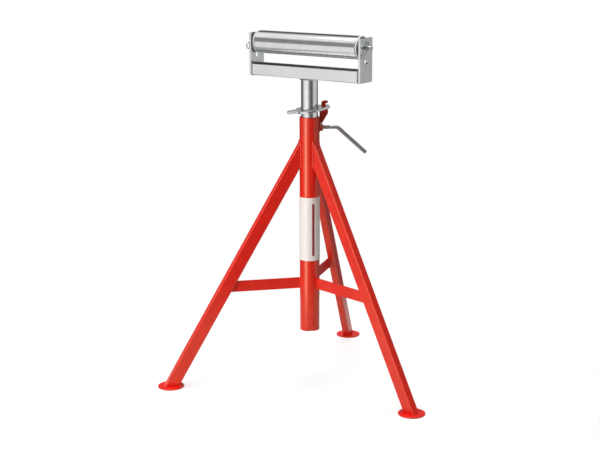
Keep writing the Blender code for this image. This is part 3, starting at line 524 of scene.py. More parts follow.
pressed = np.where((abs(from_dent) < DENT_HALF_ANGLE) & (above < DENT_HEIGHT),
                   DENT_DEPTH * np.cos(math.pi / 2 * from_dent / DENT_HALF_ANGLE) ** 2
                   * np.cos(math.pi / 2 * above / DENT_HEIGHT) ** 2, 0.0)
grid[..., :2] *= (1 - pressed / POST_RADIUS)[..., None]
points, faces = drilled(grid, faces, (POST_RADIUS, bore), LOCK_HEIGHT)
red = enamel("red_enamel")
add_piece("post", placed(points, axes(*radial(HOOK_AZIMUTH))), faces, red, *PAINTED, "post_tube")

# The legs: rectangular steel tubes with rounded corners, coped to the post and cut flat above the feet. A
# hand-laid bead of weld goes round each joint, sprayed over in the same red.
LEG_NAMES = ("front", "left", "back")
LEG_ANGLE = math.radians(60.1)
LEG_WIDTH = 0.020
LEG_DEPTH = 0.033
LEG_WALL = 0.0018
LEG_CORNER = 0.003
BEAD = 0.0024
BEAD_OUT = 0.25
BEAD_PITCH = 0.0026
BEAD_STEPS = 6
BEAD_SIDES = 14
BEAD_END = 0.05
BEAD_RIPPLE = 0.13
CRESCENT_LEAN = 0.9
SWELLS = ((310.0, 0.0), (173.0, 1.0))
SWELL_SHARE = 0.03

foot_spots = [sum(np.array(corner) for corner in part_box("foot_" + name)) / 2 - AXIS for name in LEG_NAMES]
FOOT_CIRCLE = float(np.mean([math.hypot(spot[0], spot[1]) for spot in foot_spots]))
LEG_AZIMUTHS = [math.atan2(spot[1], spot[0]) for spot in foot_spots]
FOOT_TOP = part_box("foot_front")[1].z


def leg_lines(inset):
    """Starts and direction of the straight lines that make a leg's wall: its rounded section, set in by an
    amount, stands square to the lean, and each point of it runs up towards the post."""
    deep = LEG_DEPTH / 2 - inset
    wide = LEG_WIDTH / 2 - inset
    outline = rounded([(deep, wide), (-deep, wide), (-deep, -wide), (deep, -wide)], LEG_CORNER - inset)
    lean = np.array([math.sin(LEG_ANGLE), 0.0, math.cos(LEG_ANGLE)])
    start = np.array([FOOT_CIRCLE, 0.0, 0.0]) + outline[:, :1] * lean + outline[:, 1:] * (0.0, 1.0, 0.0)
    return start, np.array([-math.cos(LEG_ANGLE), 0.0, math.sin(LEG_ANGLE)])


def leg_ends(inset, radius):
    """The leg wall's lower loop, at the foot's top, and its upper loop, on a cylinder of that radius."""
    start, run = leg_lines(inset)
    low = start + run * ((FOOT_TOP + FIT - start[:, 2]) / run[2])[:, None]
    high = start + run * ((np.sqrt(radius ** 2 - start[:, 1] ** 2) - start[:, 0]) / run[0])[:, None]
    return low, high


def spaced(path, pitch, closed=False):
    """Points at equal steps along a path, about a pitch apart."""
    path = np.vstack([path, path[:1]]) if closed else np.asarray(path, float)
    length = np.concatenate([[0.0], np.cumsum(np.linalg.norm(np.diff(path, axis=0), axis=1))])
    count = max(2, int(round(length[-1] / pitch)) + (0 if closed else 1))
    along = np.linspace(0.0, length[-1], count, endpoint=not closed)
    return np.stack([np.interp(along, length, path[:, axis]) for axis in range(3)], axis=-1), along


def swept(path, side, radius, around, closed=False):
    """A round section carried along a path: ring = path + radius * (cos a * n + sin a * b), where n is the
    side direction made square to the path and b is square to both. Open ends close on their middle."""
    path = np.asarray(path, float)
    run = (np.roll(path, -1, axis=0) - np.roll(path, 1, axis=0)) if closed else np.gradient(path, axis=0)
    run = run / np.linalg.norm(run, axis=1)[:, None]
    across = np.broadcast_to(np.asarray(side, float), path.shape)
    across = across - run * (across * run).sum(1)[:, None]
    across = across / np.linalg.norm(across, axis=1)[:, None]
    square = np.cross(run, across)
    angle = round_turn(around)[:, None]
    radius = np.broadcast_to(np.asarray(radius, float), (len(path), around))[..., None]
    grid = path[:, None] + radius * (np.cos(angle) * across[:, None] + np.sin(angle) * square[:, None])
    if closed:
        return grid, grid_faces(len(path), around, True)
    first = np.repeat(path[:1, None], around, axis=1)
    last = np.repeat(path[-1:, None], around, axis=1)
    return np.concatenate([first, grid, last]), grid_faces(len(grid) + 2, around)


def ripples(along, radius, share=BEAD_RIPPLE):
    """A weld bead's radius: the crescents of a hand-laid bead, one to a pitch, and a slow swell."""
    wave = along[:, None] / BEAD_PITCH * math.tau + CRESCENT_LEAN * np.cos(round_turn(BEAD_SIDES))
    swell = sum(np.sin(along * rate + start) for rate, start in SWELLS)[:, None]
    return radius * (1 + share * np.abs(np.sin(wave / 2)) - share / 2 + SWELL_SHARE * swell)


def laid_bead(line, radius, side=None, closed=False, share=BEAD_RIPPLE):
    """A bead of weld along a line. An open one tapers as the square root of the way from its end. The side
    direction is out from the post unless one is given."""
    path, along = spaced(line, BEAD_PITCH / BEAD_STEPS, closed)
    width = ripples(along, radius, share)
    if not closed:
        from_end = np.minimum(along, along[-1] - along) / radius
        width = width * np.sqrt(np.clip(from_end, BEAD_END, 1.0))[:, None]
    return swept(path, (path - AXIS) * (1, 1, 0) if side is None else side, width, BEAD_SIDES, closed)


for name, azimuth in zip(LEG_NAMES, LEG_AZIMUTHS):
    plane = axes(*radial(azimuth))
    outer_low, outer_high = leg_ends(0.0, POST_RADIUS + FIT)
    inner_low, inner_high = leg_ends(LEG_WALL, POST_RADIUS + FIT)
    grid = np.stack([outer_low, outer_high, inner_high, inner_low])
    add_piece("leg_tube_" + name, placed(grid, plane), grid_faces(4, grid.shape[1], True), red, *PAINTED,
              "leg_" + name)
    seam = placed(leg_ends(0.0, POST_RADIUS + BEAD * BEAD_OUT)[1], plane)
    add_piece("leg_bead_" + name, *laid_bead(seam, BEAD, closed=True), red, *PAINTED, "weld_leg_" + name)

# The feet: thin round steel discs with a soft upper edge, blanked from sheet. They are welded flat under the
# legs and painted with them.
FOOT_RADIUS = 0.03345
FOOT_EDGE = 0.0010
FOOT_SIDES = 96

section = bar_section(FOOT_RADIUS, 0.0, FOOT_TOP, (FOOT_EDGE, FOOT_EDGE / 2), 5)
for name, azimuth in zip(LEG_NAMES, LEG_AZIMUTHS):
    add_turned("foot_disc_" + name, section, FOOT_SIDES, axes(*radial(azimuth, FOOT_CIRCLE)), red, *PAINTED,
               "foot_" + name)

# The braces: short flat bars on edge, tacked to the post and to the underside of each leg, two of them a
# little to one side of its middle. Sheared edges, with beads of weld down the sides of both ends.
BRACE_THICKNESS = 0.0032
BRACE_SHIFTS = (0.003, 0.0, 0.0085)
BRACE_EDGE = 0.0004
BRACE_CORNER = 0.0006
BRACE_BEAD = 0.0013
BRACE_BEAD_OUT = 0.3
BRACE_BEAD_INSET = 0.001
BRACE_BEAD_BACK = 0.0006


def plate(outlines, thickness, edge, steps=3):
    """A flat plate with holes: each outline is carried through the thickness and drawn in by
    edge * (1 - sin t) where it is edge * (1 - cos t) from a face, so its edges are quarter rounds. The faces
    are filled between."""
    turn = np.linspace(0.0, math.pi / 2, steps + 1)
    flat = edge / 3
    inset = np.concatenate([[edge + flat], edge * (1 - np.sin(turn)), [0.0]])
    depth = np.concatenate([[0.0], edge * (1 - np.cos(turn)), [edge + flat]]) - thickness / 2
    inset = np.concatenate([inset, inset[::-1]])
    depth = np.concatenate([depth, -depth[::-1]])
    points, faces, low, high = [], [], [], []
    first = 0
    for index, outline in enumerate(outlines):
        outline = np.asarray(outline, float)
        following = np.roll(outline, -1, axis=0)
        area = (outline[:, 0] * following[:, 1] - outline[:, 1] * following[:, 0]).sum()
        if (area > 0) != (index == 0):
            outline = outline[::-1]
            following = np.roll(outline, -1, axis=0)
        run = following - outline
        run = run / np.linalg.norm(run, axis=1)[:, None]
        inward = np.stack([-run[:, 1], run[:, 0]], axis=1)
        last = np.roll(inward, 1, axis=0)
        mitre = (inward + last) / (1 + (inward * last).sum(1))[:, None]
        rows = outline[None] + mitre[None] * inset[:, None, None]
        count = len(outline)
        depths = np.repeat(depth[:, None, None], count, axis=1)
        points.append(np.concatenate([rows, depths], axis=2).reshape(-1, 3))
        faces += (grid_faces(len(inset), count) + first).tolist()
        low.append((rows[0], first + np.arange(count)))
        high.append((rows[-1], first + (len(inset) - 1) * count + np.arange(count)))
        first += len(inset) * count
    for rings in (low, high):
        corners = tessellate_polygon([[(x, y, 0.0) for x, y in ring] for ring, _ in rings])
        numbers = np.concatenate([number for _, number in rings])
        faces += [[int(numbers[corner]) for corner in triangle] for triangle in corners]
    return np.vstack(points), faces


def leg_inner_radius(height):
    """Distance from the post's axis to a leg's inner face at a height."""
    return FOOT_CIRCLE - (height + LEG_DEPTH / 2 / math.cos(LEG_ANGLE)) / math.tan(LEG_ANGLE)


def to_post(points, shift, length):
    """Draws a plate's points, which start at zero, out to the post's round face: x becomes s + x (L - s) / L,
    where s is the square root of the post's radius squared less the sideways place squared."""
    start = np.sqrt((POST_RADIUS + FIT) ** 2 - (shift - points[:, 2]) ** 2)
    points = points.copy()
    points[:, 0] = start + points[:, 0] * (length - start) / length
    return points


for name, azimuth, shift in zip(LEG_NAMES, LEG_AZIMUTHS, BRACE_SHIFTS):
    low, high = (corner.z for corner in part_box("brace_" + name))
    ends = [leg_inner_radius(height) - FIT / math.sin(LEG_ANGLE) for height in (low, high)]
    outline = rounded([(0.0, low), (ends[0], low), (ends[1], high), (0.0, high)], BRACE_CORNER, 3)
    points, faces = plate([outline], BRACE_THICKNESS, BRACE_EDGE)
    origin, out, sideways = radial(azimuth)
    plane = axes(origin + sideways * shift, out, UP)
    add_piece("brace_bar_" + name, placed(to_post(points, shift, ends[0]), plane), faces, red, *PAINTED,
              "brace_" + name)
    for side in (-1, 1):
        across = shift + side * (BRACE_THICKNESS / 2 + BRACE_BEAD * BRACE_BEAD_OUT)
        at_post = math.sqrt(POST_RADIUS ** 2 - across ** 2) + BRACE_BEAD * BRACE_BEAD_OUT
        lines = [(at_post, at_post)]
        if abs(across) < LEG_WIDTH / 2 - BRACE_BEAD_INSET:
            lines.append((ends[0] - BRACE_BEAD_BACK, ends[1] - BRACE_BEAD_BACK))
        for index, reach in enumerate(lines):
            spots = zip(reach, (low + BRACE_BEAD_INSET, high - BRACE_BEAD_INSET))
            line = np.array([origin + spot * out + across * sideways + height * UP for spot, height in spots])
            add_piece(f"brace_bead_{name}_{'near' if side < 0 else 'far'}_{index}",
                      *laid_bead(line, BRACE_BEAD, sideways), red, *PAINTED)

# The hook bracket: one profile cut from 6 mm steel and welded on the post. Its shoulder carries the release
# plate, and the hook goes up through the plate's slot so that the plate can't be lost.
BRACKET_THICKNESS = 0.006
BRACKET_REACH = 0.0466
BRACKET_CHIN = 0.0132
BRACKET_FOOT = 0.0058
BRACKET_FOOT_ROUND = 0.0005
BRACKET_ROUND = 0.003
BRACKET_EDGE = 0.0005
SHOULDER_ROUND = 0.0006
NECK_START = 0.0046
NECK_WIDTH = 0.0105
NECK_ROUND = 0.0003
HOOK_THICKNESS = 0.0062
HOOK_MOUTH = 0.0068
HOOK_ROUND = 0.49
MOUTH_ROUND = 0.33
PLATE_TILT = math.radians(8)
PLATE_RISE = 0.0155
PLATE_THICKNESS = 0.006
NUT_FLATS = 0.017
# A darker copy of the red enamel: painted shade for the bracket, the nut and the nut's bead.
RED_SHADED = (0.38, 0.010, 0.011, 1.0)
RED_SHADED_DEEP = (0.33, 0.009, 0.010, 1.0)


def plate_under(radius):
    """Height of the release plate's underside at a distance from the post's axis."""
    return post_high.z + PLATE_RISE + radius * math.tan(PLATE_TILT)


neck_in = POST_RADIUS + NECK_START
neck_out = neck_in + NECK_WIDTH
slack = FIT / math.cos(PLATE_TILT)
shoulder = plate_under(BRACKET_REACH) - slack
neck_top = plate_under(neck_out) + PLATE_THICKNESS / math.cos(PLATE_TILT) + HOOK_MOUTH
crown = neck_top + HOOK_THICKNESS
foot_height = LOCK_HEIGHT + NUT_FLATS / math.sqrt(3) + FIT
tip_round = HOOK_THICKNESS * HOOK_ROUND
mouth_round = HOOK_MOUTH * MOUTH_ROUND
outline = rounded(
    [(0.0, foot_height), (POST_RADIUS + BRACKET_FOOT, foot_height), (BRACKET_REACH, shoulder - BRACKET_CHIN),
     (BRACKET_REACH, shoulder), (neck_out, plate_under(neck_out) - slack), (neck_out, neck_top),
     (BRACKET_REACH, neck_top), (BRACKET_REACH, crown), (neck_in, crown),
     (neck_in, plate_under(neck_in) - slack), (POST_RADIUS, plate_under(POST_RADIUS) - slack),
     (0.0, plate_under(POST_RADIUS) - slack)],
    [0.0, BRACKET_FOOT_ROUND, BRACKET_ROUND, SHOULDER_ROUND, NECK_ROUND, mouth_round, tip_round, tip_round,
     HOOK_THICKNESS, NECK_ROUND, 0.0, 0.0])
points, faces = plate([outline], BRACKET_THICKNESS, BRACKET_EDGE)
points[:, 0] = np.maximum(points[:, 0], np.sqrt((POST_RADIUS + FIT) ** 2 - points[:, 2] ** 2))
origin, out, sideways = radial(HOOK_AZIMUTH)
# The bracket, the nut and the nut's bead take the darker red: painted shade, for the shade that falls on them
# beside the mast and under the release plate.
painted_shade_red = enamel("painted_shade_enamel", RED_SHADED, RED_SHADED_DEEP)
add_piece("bracket_profile", placed(points, axes(origin, out, UP)), faces, painted_shade_red, *PAINTED,
          "hook_bracket")

# The clamp nut: a hex nut welded over the hole in the post, chamfered outside and in the bracket's darker
# red, which is painted shade. The lock screw runs in its thread.
NUT_HEIGHT = 0.0081
NUT_CHAMFER = math.tan(math.radians(28))
NUT_FACE = 0.97
NUT_MOUTH = 0.0008
NUT_SIDES = 96
NUT_BEAD = 0.0017
NUT_BEAD_ASIDE = 0.35
NUT_BEAD_OUT = 0.3
ROD_RADIUS = 0.00485

angle = round_turn(NUT_SIDES)
hexagon = NUT_FLATS / 2 / np.cos((angle + math.pi / 6) % (math.pi / 3) - math.pi / 6)
face_radius = NUT_FLATS / 2 * NUT_FACE
nut_top = POST_RADIUS + NUT_HEIGHT
nut_bore = ROD_RADIUS + FIT
rings = []
for radius, height in ((hexagon, None), (hexagon, nut_top - (hexagon - face_radius) * NUT_CHAMFER),
                       (face_radius, nut_top), (nut_bore + NUT_MOUTH, nut_top),
                       (nut_bore, nut_top - NUT_MOUTH), (nut_bore, None)):
    aside = np.broadcast_to(radius, NUT_SIDES) * np.sin(angle)
    if height is None:
        height = np.sqrt((POST_RADIUS + FIT) ** 2 - aside ** 2)
    rings.append(np.stack([np.broadcast_to(height, NUT_SIDES), aside, radius * np.cos(angle)], axis=-1))
LOCK_AT = radial(HOOK_AZIMUTH, 0.0, LOCK_HEIGHT)
origin, out, sideways = LOCK_AT
nut_plane = axes(*LOCK_AT)
add_piece("nut", placed(np.stack(rings), nut_plane), grid_faces(len(rings), NUT_SIDES, True), painted_shade_red,
          *PAINTED, "clamp_nut")
seam = circled(hexagon + NUT_BEAD * NUT_BEAD_ASIDE, angle)
on_post = np.sqrt(POST_RADIUS ** 2 - seam[:, 1] ** 2) + NUT_BEAD * NUT_BEAD_OUT
seam = placed(np.stack([on_post, seam[:, 1], seam[:, 0]], axis=1), nut_plane)
add_piece("nut_bead", *laid_bead(seam, NUT_BEAD, out, True), painted_shade_red, *PAINTED)

# The wrap: a plain white film printed with one dark red stripe. It is stuck round the post, and its two ends
# leave a narrow seam behind.
LABEL_THICKNESS = 0.0004
LABEL_SEAM = math.radians(8)
LABEL_SIDES = 120
STRIPE_AZIMUTH = math.radians(-33.6)
STRIPE_WIDTH = 0.0062
STRIPE_LOW = 0.3318
STRIPE_HIGH = 0.4679
STRIPE_BLUR = 0.0001
FILM_WHITE = (0.90, 0.85, 0.80, 1.0)
FILM_SHADE = (0.86, 0.80, 0.75, 1.0)
FILM_PATCHES = (60.0, 0.4, 0.8)
FILM_ROUGH = 0.34
FILM_DULLING = 0.12
FILM_GRAIN = 240.0
FILM_CREASES = (90.0, 2.0)
FILM_CREASE_DEPTH = 0.00005
FILM_CREASE_SHARE = 0.5
STRIPE_RED = (0.31, 0.022, 0.030, 1.0)

material, finish, shader, where = new_material("white_film")
spot_x, spot_y, height = (finish.node("SeparateXYZ", sockets={"Vector": where}, output=way) for way in "XYZ")
turned_by = spot_x.math("ARCTAN2", spot_y - float(AXIS[1]), spot_x - float(AXIS[0]))
aside = turned_by.math("ABSOLUTE", turned_by - STRIPE_AZIMUTH) * POST_RADIUS
past_side, past_low, past_high = (
    finish.step(value, place - STRIPE_BLUR, place + STRIPE_BLUR)
    for value, place in ((aside, STRIPE_WIDTH / 2), (height, STRIPE_LOW), (height, STRIPE_HIGH)))
film = finish.mix(FILM_WHITE, FILM_SHADE, patches(finish, where, *FILM_PATCHES))
creases = noise(finish, where, *FILM_CREASES)
finish.feed(shader, {"Base Color": finish.mix(film, STRIPE_RED, (1 - past_side) * past_low * (1 - past_high)),
                     "Roughness": FILM_ROUGH + noise(finish, where, FILM_GRAIN) * FILM_DULLING,
                     "Normal": bump(finish, creases, FILM_CREASE_DEPTH, FILM_CREASE_SHARE)})
low, high = (corner.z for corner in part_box("label_wrap"))
inner = POST_RADIUS + FIT
profile = tube_section(inner + LABEL_THICKNESS, inner, low, high, LABEL_THICKNESS / 4, 2)
count = len(profile)
angle = LEG_AZIMUTHS[-1] + LABEL_SEAM / 2 + np.linspace(0.0, math.tau - LABEL_SEAM, LABEL_SIDES)[:, None]
grid = np.stack([profile[:, 0] * np.cos(angle), profile[:, 0] * np.sin(angle),
                 np.broadcast_to(profile[:, 1], (LABEL_SIDES, count))], axis=-1)
caps = [list(range(first, first + count)) for first in (0, (LABEL_SIDES - 1) * count)]
add_piece("wrap", placed(grid, UPRIGHT), grid_faces(LABEL_SIDES, count).tolist() + caps, material, "stand",
          "label_film", "label_wrap")

# The lock screw: a bent bar of bright drawn steel with a rolled thread where it goes through the nut, and a
# turned dog point that presses on the mast.
TIP_RADIUS = 0.0032
TIP_LENGTH = 0.004
TIP_EDGE = 0.0008
TIP_BACK_EDGE = 0.0002
TIP_SIDES = 48
MAST_RADIUS = 0.0212
LOCK_SLACK = 0.0015
ROD_STRAIGHT = 0.0378
ROD_BEND = math.radians(42.6)
ROD_BEND_RADIUS = 0.014
ROD_BEND_POINTS = 16
ROD_ARM = 0.0932
ROD_CHAMFER = 0.0009
ROD_STEP = 0.0015
ROD_SIDES = 36
THREAD_PITCH = 0.0015
THREAD_DEPTH = 0.00062
THREAD_END = 0.050
THREAD_FADE = 0.003
THREAD_STEPS = 10
STEEL = (0.52, 0.515, 0.505, 1.0)
STEEL_DARK = (0.36, 0.355, 0.35, 1.0)
METAL_PATCHES = (0.34, 0.68, 4.0)
METAL_LINES = (2.0, 0.6)
METAL_LINE_SHARE = 0.3
METAL_LINE_DEPTH = 0.00002
METAL_LINE_BUMP = 0.35


def bare_metal(name, bright, dark, roughness, spread, cloud, scratch, along=(1.0, 1.0, 1.0)):
    """Metal: a colour that drifts between two tones in soft clouds, a sheen that drifts with it, and fine
    lines, drawn out along an axis where its scale is small. cloud and scratch are sizes in metres."""
    material, finish, shader, where = new_material(name, 1.0)
    clouds = patches(finish, where, 1 / cloud, *METAL_PATCHES)
    drawn = finish.node("Mapping", sockets={"Vector": where, "Scale": along})
    lines = noise(finish, drawn, 1 / scratch, *METAL_LINES)
    tone = clouds * (1 - METAL_LINE_SHARE) + lines * METAL_LINE_SHARE
    finish.feed(shader, {"Base Color": finish.mix(dark, bright, tone),
                         "Roughness": roughness + (1 - clouds) * spread + lines * (spread / 2),
                         "Normal": bump(finish, lines, METAL_LINE_DEPTH, METAL_LINE_BUMP)})
    return material


lock_steel = bare_metal("lock_steel", STEEL, STEEL_DARK, roughness=0.30, spread=0.10, cloud=0.006,
                        scratch=0.0006)
tip_end = MAST_RADIUS + FIT + LOCK_SLACK
section = bar_section(TIP_RADIUS, 0.0, TIP_LENGTH, (TIP_BACK_EDGE, TIP_EDGE), 4)
origin, out, sideways = LOCK_AT
add_turned("lock_point", section, TIP_SIDES, axes(origin + out * tip_end, sideways, UP), lock_steel,
           "lock_point", "lock_steel", "lock_screw_tip")

rod_start = tip_end + TIP_LENGTH + FIT
bend_start = rod_start + ROD_STRAIGHT
threaded = np.arange(rod_start + ROD_CHAMFER, THREAD_END, THREAD_PITCH / THREAD_STEPS)
straight = np.concatenate([[rod_start], threaded, np.arange(THREAD_END, bend_start, ROD_STEP)])
turn = np.linspace(0.0, ROD_BEND, ROD_BEND_POINTS)
bend = np.stack([bend_start + ROD_BEND_RADIUS * np.sin(turn), -ROD_BEND_RADIUS * (1 - np.cos(turn))], axis=1)
arm_end = ROD_ARM - ROD_CHAMFER
arm = np.concatenate([np.arange(ROD_STEP, arm_end, ROD_STEP), [arm_end, ROD_ARM]])[:, None]
line = np.vstack([np.stack([straight, 0 * straight], axis=1), bend,
                  bend[-1] + arm * (math.cos(ROD_BEND), -math.sin(ROD_BEND))])
path = origin + line[:, :1] * out + line[:, 1:] * UP
phase = (line[:, :1] / THREAD_PITCH + np.arange(ROD_SIDES) / ROD_SIDES) % 1.0
fade = np.clip((THREAD_END + THREAD_FADE - line[:, :1]) / THREAD_FADE, 0.0, 1.0)
radius = ROD_RADIUS - np.abs(phase * 2 - 1) * THREAD_DEPTH * fade
radius[[0, -1]] -= ROD_CHAMFER
add_piece("lock_rod", *swept(path, sideways, radius, ROD_SIDES), lock_steel, "lock_rod", "lock_steel",
          "lock_handle")

# The mast: a bright zinc-plated tube, square cut, with a moulded guide plug in its lower end. A run of weld
# joins its top to the head.
MAST_WALL = 0.003
MAST_EDGE = 0.0005
MAST_SIDES = 144
PLATED = ("mast", "zinc_plate")
PLUG_FLANGE = 0.004
PLUG_DEPTH = 0.018
PLUG_WALL = 0.004
PLUG_EDGE = 0.0008
FLANGE_EDGE = 0.0006
PLUG_SIDES = 96
MAST_BEAD = 0.0019
MAST_BEAD_OUT = 0.0009
MAST_BEAD_DROP = 0.0012
MAST_BEAD_POINTS = 360
MAST_ZINC = (0.93, 0.935, 0.94, 1.0)
MAST_ZINC_DARK = (0.82, 0.825, 0.83, 1.0)
BEAD_ZINC = (0.66, 0.66, 0.65, 1.0)
BEAD_ZINC_DARK = (0.42, 0.41, 0.40, 1.0)
NYLON = (0.045, 0.045, 0.047, 1.0)
NYLON_DARK = (0.022, 0.022, 0.023, 1.0)
NYLON_CLOUD = 180.0
NYLON_GRAIN = 500.0
NYLON_SKIN = (1400.0, 1.0)
NYLON_SKIN_DEPTH = 0.00003
NYLON_SKIN_SHARE = 0.5
NYLON_ROUGH = 0.42
NYLON_DULLING = 0.2

mast_zinc = bare_metal("mast_zinc", MAST_ZINC, MAST_ZINC_DARK, roughness=0.09, spread=0.04,
                       cloud=0.020, scratch=0.0009, along=(1.0, 1.0, 0.04))
mast_bore = MAST_RADIUS - MAST_WALL
section = tube_section(MAST_RADIUS, mast_bore, mast_low.z, mast_high.z, MAST_EDGE)
add_turned("mast", section, MAST_SIDES, UPRIGHT, mast_zinc, *PLATED, "mast_tube")

material, finish, shader, where = new_material("plug_nylon")
skin = noise(finish, where, *NYLON_SKIN)
finish.feed(shader, {"Base Color": finish.mix(NYLON_DARK, NYLON, noise(finish, where, NYLON_CLOUD)),
                     "Roughness": NYLON_ROUGH + noise(finish, where, NYLON_GRAIN) * NYLON_DULLING,
                     "Normal": bump(finish, skin, NYLON_SKIN_DEPTH, NYLON_SKIN_SHARE)})
flange = bore - FIT
stem = mast_bore - FIT
section = rounded([(stem, PLUG_DEPTH), (stem, -FIT), (flange, -FIT), (flange, -PLUG_FLANGE),
                   (stem - PLUG_WALL, -PLUG_FLANGE), (stem - PLUG_WALL, PLUG_DEPTH)],
                  [PLUG_EDGE, 0.0, FLANGE_EDGE, FLANGE_EDGE, PLUG_EDGE, PLUG_EDGE], 4)
add_turned("guide_plug", section + (0.0, mast_low.z), PLUG_SIDES, UPRIGHT, material, "carriage",
           "plug_plastic", "mast_end_plug")

bead_zinc = bare_metal("bead_zinc", BEAD_ZINC, BEAD_ZINC_DARK, roughness=0.30, spread=0.12,
                       cloud=0.003, scratch=0.001)
head_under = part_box("head_channel")[0].z - FIT
turn = round_turn(MAST_BEAD_POINTS)
ring = MAST_RADIUS + FIT + MAST_BEAD_OUT
path = AXIS + np.column_stack([circled(ring, turn), 0 * turn + head_under - MAST_BEAD_DROP])
grid, faces = swept(path, UP, ripples(turn * ring, MAST_BEAD), BEAD_SIDES, True)
grid[..., 2] = np.minimum(grid[..., 2], head_under)
add_piece("mast_bead", grid, faces, bead_zinc, *PLATED, "weld_mast_top")

# The release plate: 6 mm steel blanked to shape and zinc plated. It hangs tilted on the bracket and bites the
# mast in its round hole, and a push on its tongue lets the mast slide.
PLATE_BITE = 0.0004
PLATE_HALF_WIDTH = 0.048
PLATE_REACH = 0.0506
PLATE_END_HALF_WIDTH = 0.0145
TONGUE_REACH = 0.056
TONGUE_HALF_WIDTH = 0.012
TONGUE_ROOT_HALF_WIDTH = 0.0165
TONGUE_ROOT = 0.034
PLATE_CORNER = 0.006
PLATE_EDGES = ((-0.54, 0.8), (-0.19, 1.0), (0.24, 1.0))
PLATE_ROUNDS = (1.0, 0.5, 1.0, 2.0, 2.0, 1.0)
PLATE_SOFTENING = 0.0006
PLATE_HOLE_SIDES = 120
SLOT_CLEARANCE = 0.0008
SLOT_CORNER = 0.0005
PLATE_ZINC = (0.84, 0.85, 0.86, 1.0)
PLATE_ZINC_DARK = (0.72, 0.73, 0.74, 1.0)


def oblong(left, right, low, high):
    """An outline of four square corners."""
    return [(left, low), (right, low), (right, high), (left, high)]


plate_zinc = bare_metal("plate_zinc", PLATE_ZINC, PLATE_ZINC_DARK, roughness=0.16, spread=0.08,
                        cloud=0.010, scratch=0.0008)
half_rise = PLATE_THICKNESS / 2 * math.sin(PLATE_TILT)
middle = -(BRACKET_REACH - half_rise) / math.cos(PLATE_TILT)
half = [(-TONGUE_REACH, -TONGUE_HALF_WIDTH), (-TONGUE_ROOT, -TONGUE_ROOT_HALF_WIDTH)]
half += [(along * PLATE_REACH, -aside * PLATE_HALF_WIDTH) for along, aside in PLATE_EDGES]
half.append((PLATE_REACH, -PLATE_END_HALF_WIDTH))
rounds = [PLATE_CORNER * share for share in PLATE_ROUNDS]
outline = rounded(half + [(x, -y) for x, y in reversed(half)], rounds + rounds[::-1], 10) + (middle, 0.0)
hole = (MAST_RADIUS + PLATE_BITE + half_rise) / math.cos(PLATE_TILT)
hole_outline = circled(hole, round_turn(PLATE_HOLE_SIDES)) + (middle, 0.0)
neck = POST_RADIUS + NECK_START + NECK_WIDTH / 2 - BRACKET_REACH
slot_middle = (neck + half_rise) / math.cos(PLATE_TILT)
slot_half = (NECK_WIDTH / 2 + half_rise) / math.cos(PLATE_TILT) + SLOT_CLEARANCE
slot_side = BRACKET_THICKNESS / 2 + SLOT_CLEARANCE
slot_outline = rounded(oblong(slot_middle - slot_half, slot_middle + slot_half, -slot_side, slot_side),
                       SLOT_CORNER, 3)
points, faces = plate([outline, hole_outline, slot_outline], PLATE_THICKNESS, PLATE_SOFTENING)
points[:, 2] += PLATE_THICKNESS / 2
pivot, out, sideways = radial(HOOK_AZIMUTH, BRACKET_REACH, plate_under(BRACKET_REACH))
lean = out * math.cos(PLATE_TILT) + UP * math.sin(PLATE_TILT)
add_piece("friction_plate", placed(points, axes(pivot, lean, sideways)), faces, plate_zinc, "plate",
          "zinc_plate", "release_plate")

# The head: a channel bent from 3 mm sheet, open upwards, with a flat ear welded on each end. Each ear has the
# axle's hole and a spare one below it. Bright zinc all over, beads included.
EAR_THICKNESS = 0.006
EAR_EDGE = 0.0006
EAR_CORNER = 0.0008
HEAD_WIDTH = 0.0538
CHANNEL_HEIGHT = 0.0287
CHANNEL_WALL = 0.003
CHANNEL_CORNER = 0.005
CHANNEL_LIP = 0.0005
CHANNEL_EDGE = 0.0003
SPARE_DROP = 0.0331
AXLE_RADIUS = 0.00635
EAR_HOLE_SIDES = 72
EAR_BEAD = 0.0016
EAR_BEAD_INSET = 0.0017
EAR_BEAD_RIPPLE = 0.18
CHANNEL_ZINC = (0.89, 0.895, 0.90, 1.0)
CHANNEL_ZINC_DARK = (0.85, 0.855, 0.86, 1.0)
EAR_ZINC = (0.89, 0.915, 0.905, 1.0)
EAR_ZINC_DARK = (0.79, 0.815, 0.805, 1.0)


def channel_line(half, floor_height):
    """A face of the channel's section: down its left side, along its floor and up its right side."""
    return [(-half, CHANNEL_HEIGHT), (-half, floor_height), (half, floor_height), (half, CHANNEL_HEIGHT)]


channel_zinc = bare_metal("channel_zinc", CHANNEL_ZINC, CHANNEL_ZINC_DARK, roughness=0.16, spread=0.02,
                          cloud=0.030, scratch=0.0008, along=(0.05, 1.0, 1.0))
ear_zinc = bare_metal("ear_zinc", EAR_ZINC, EAR_ZINC_DARK, roughness=0.15, spread=0.04, cloud=0.020,
                      scratch=0.0008, along=(1.0, 1.0, 0.2))
channel_low, channel_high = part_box("head_channel")
channel_half = (channel_high.x - channel_low.x) / 2
half_width = HEAD_WIDTH / 2
inner_corner = CHANNEL_CORNER - CHANNEL_WALL
outer_line = channel_line(half_width, 0.0)
outline = rounded(outer_line + channel_line(half_width - CHANNEL_WALL, CHANNEL_WALL)[::-1],
                  [CHANNEL_LIP, CHANNEL_CORNER, CHANNEL_CORNER, CHANNEL_LIP,
                   CHANNEL_LIP, inner_corner, inner_corner, CHANNEL_LIP])
points, faces = plate([outline], channel_half * 2, CHANNEL_EDGE)
head_plane = axes(AXIS + UP * channel_low.z, (0, 1, 0), UP)
add_piece("channel", placed(points, head_plane), faces, channel_zinc, *PLATED, "head_channel")

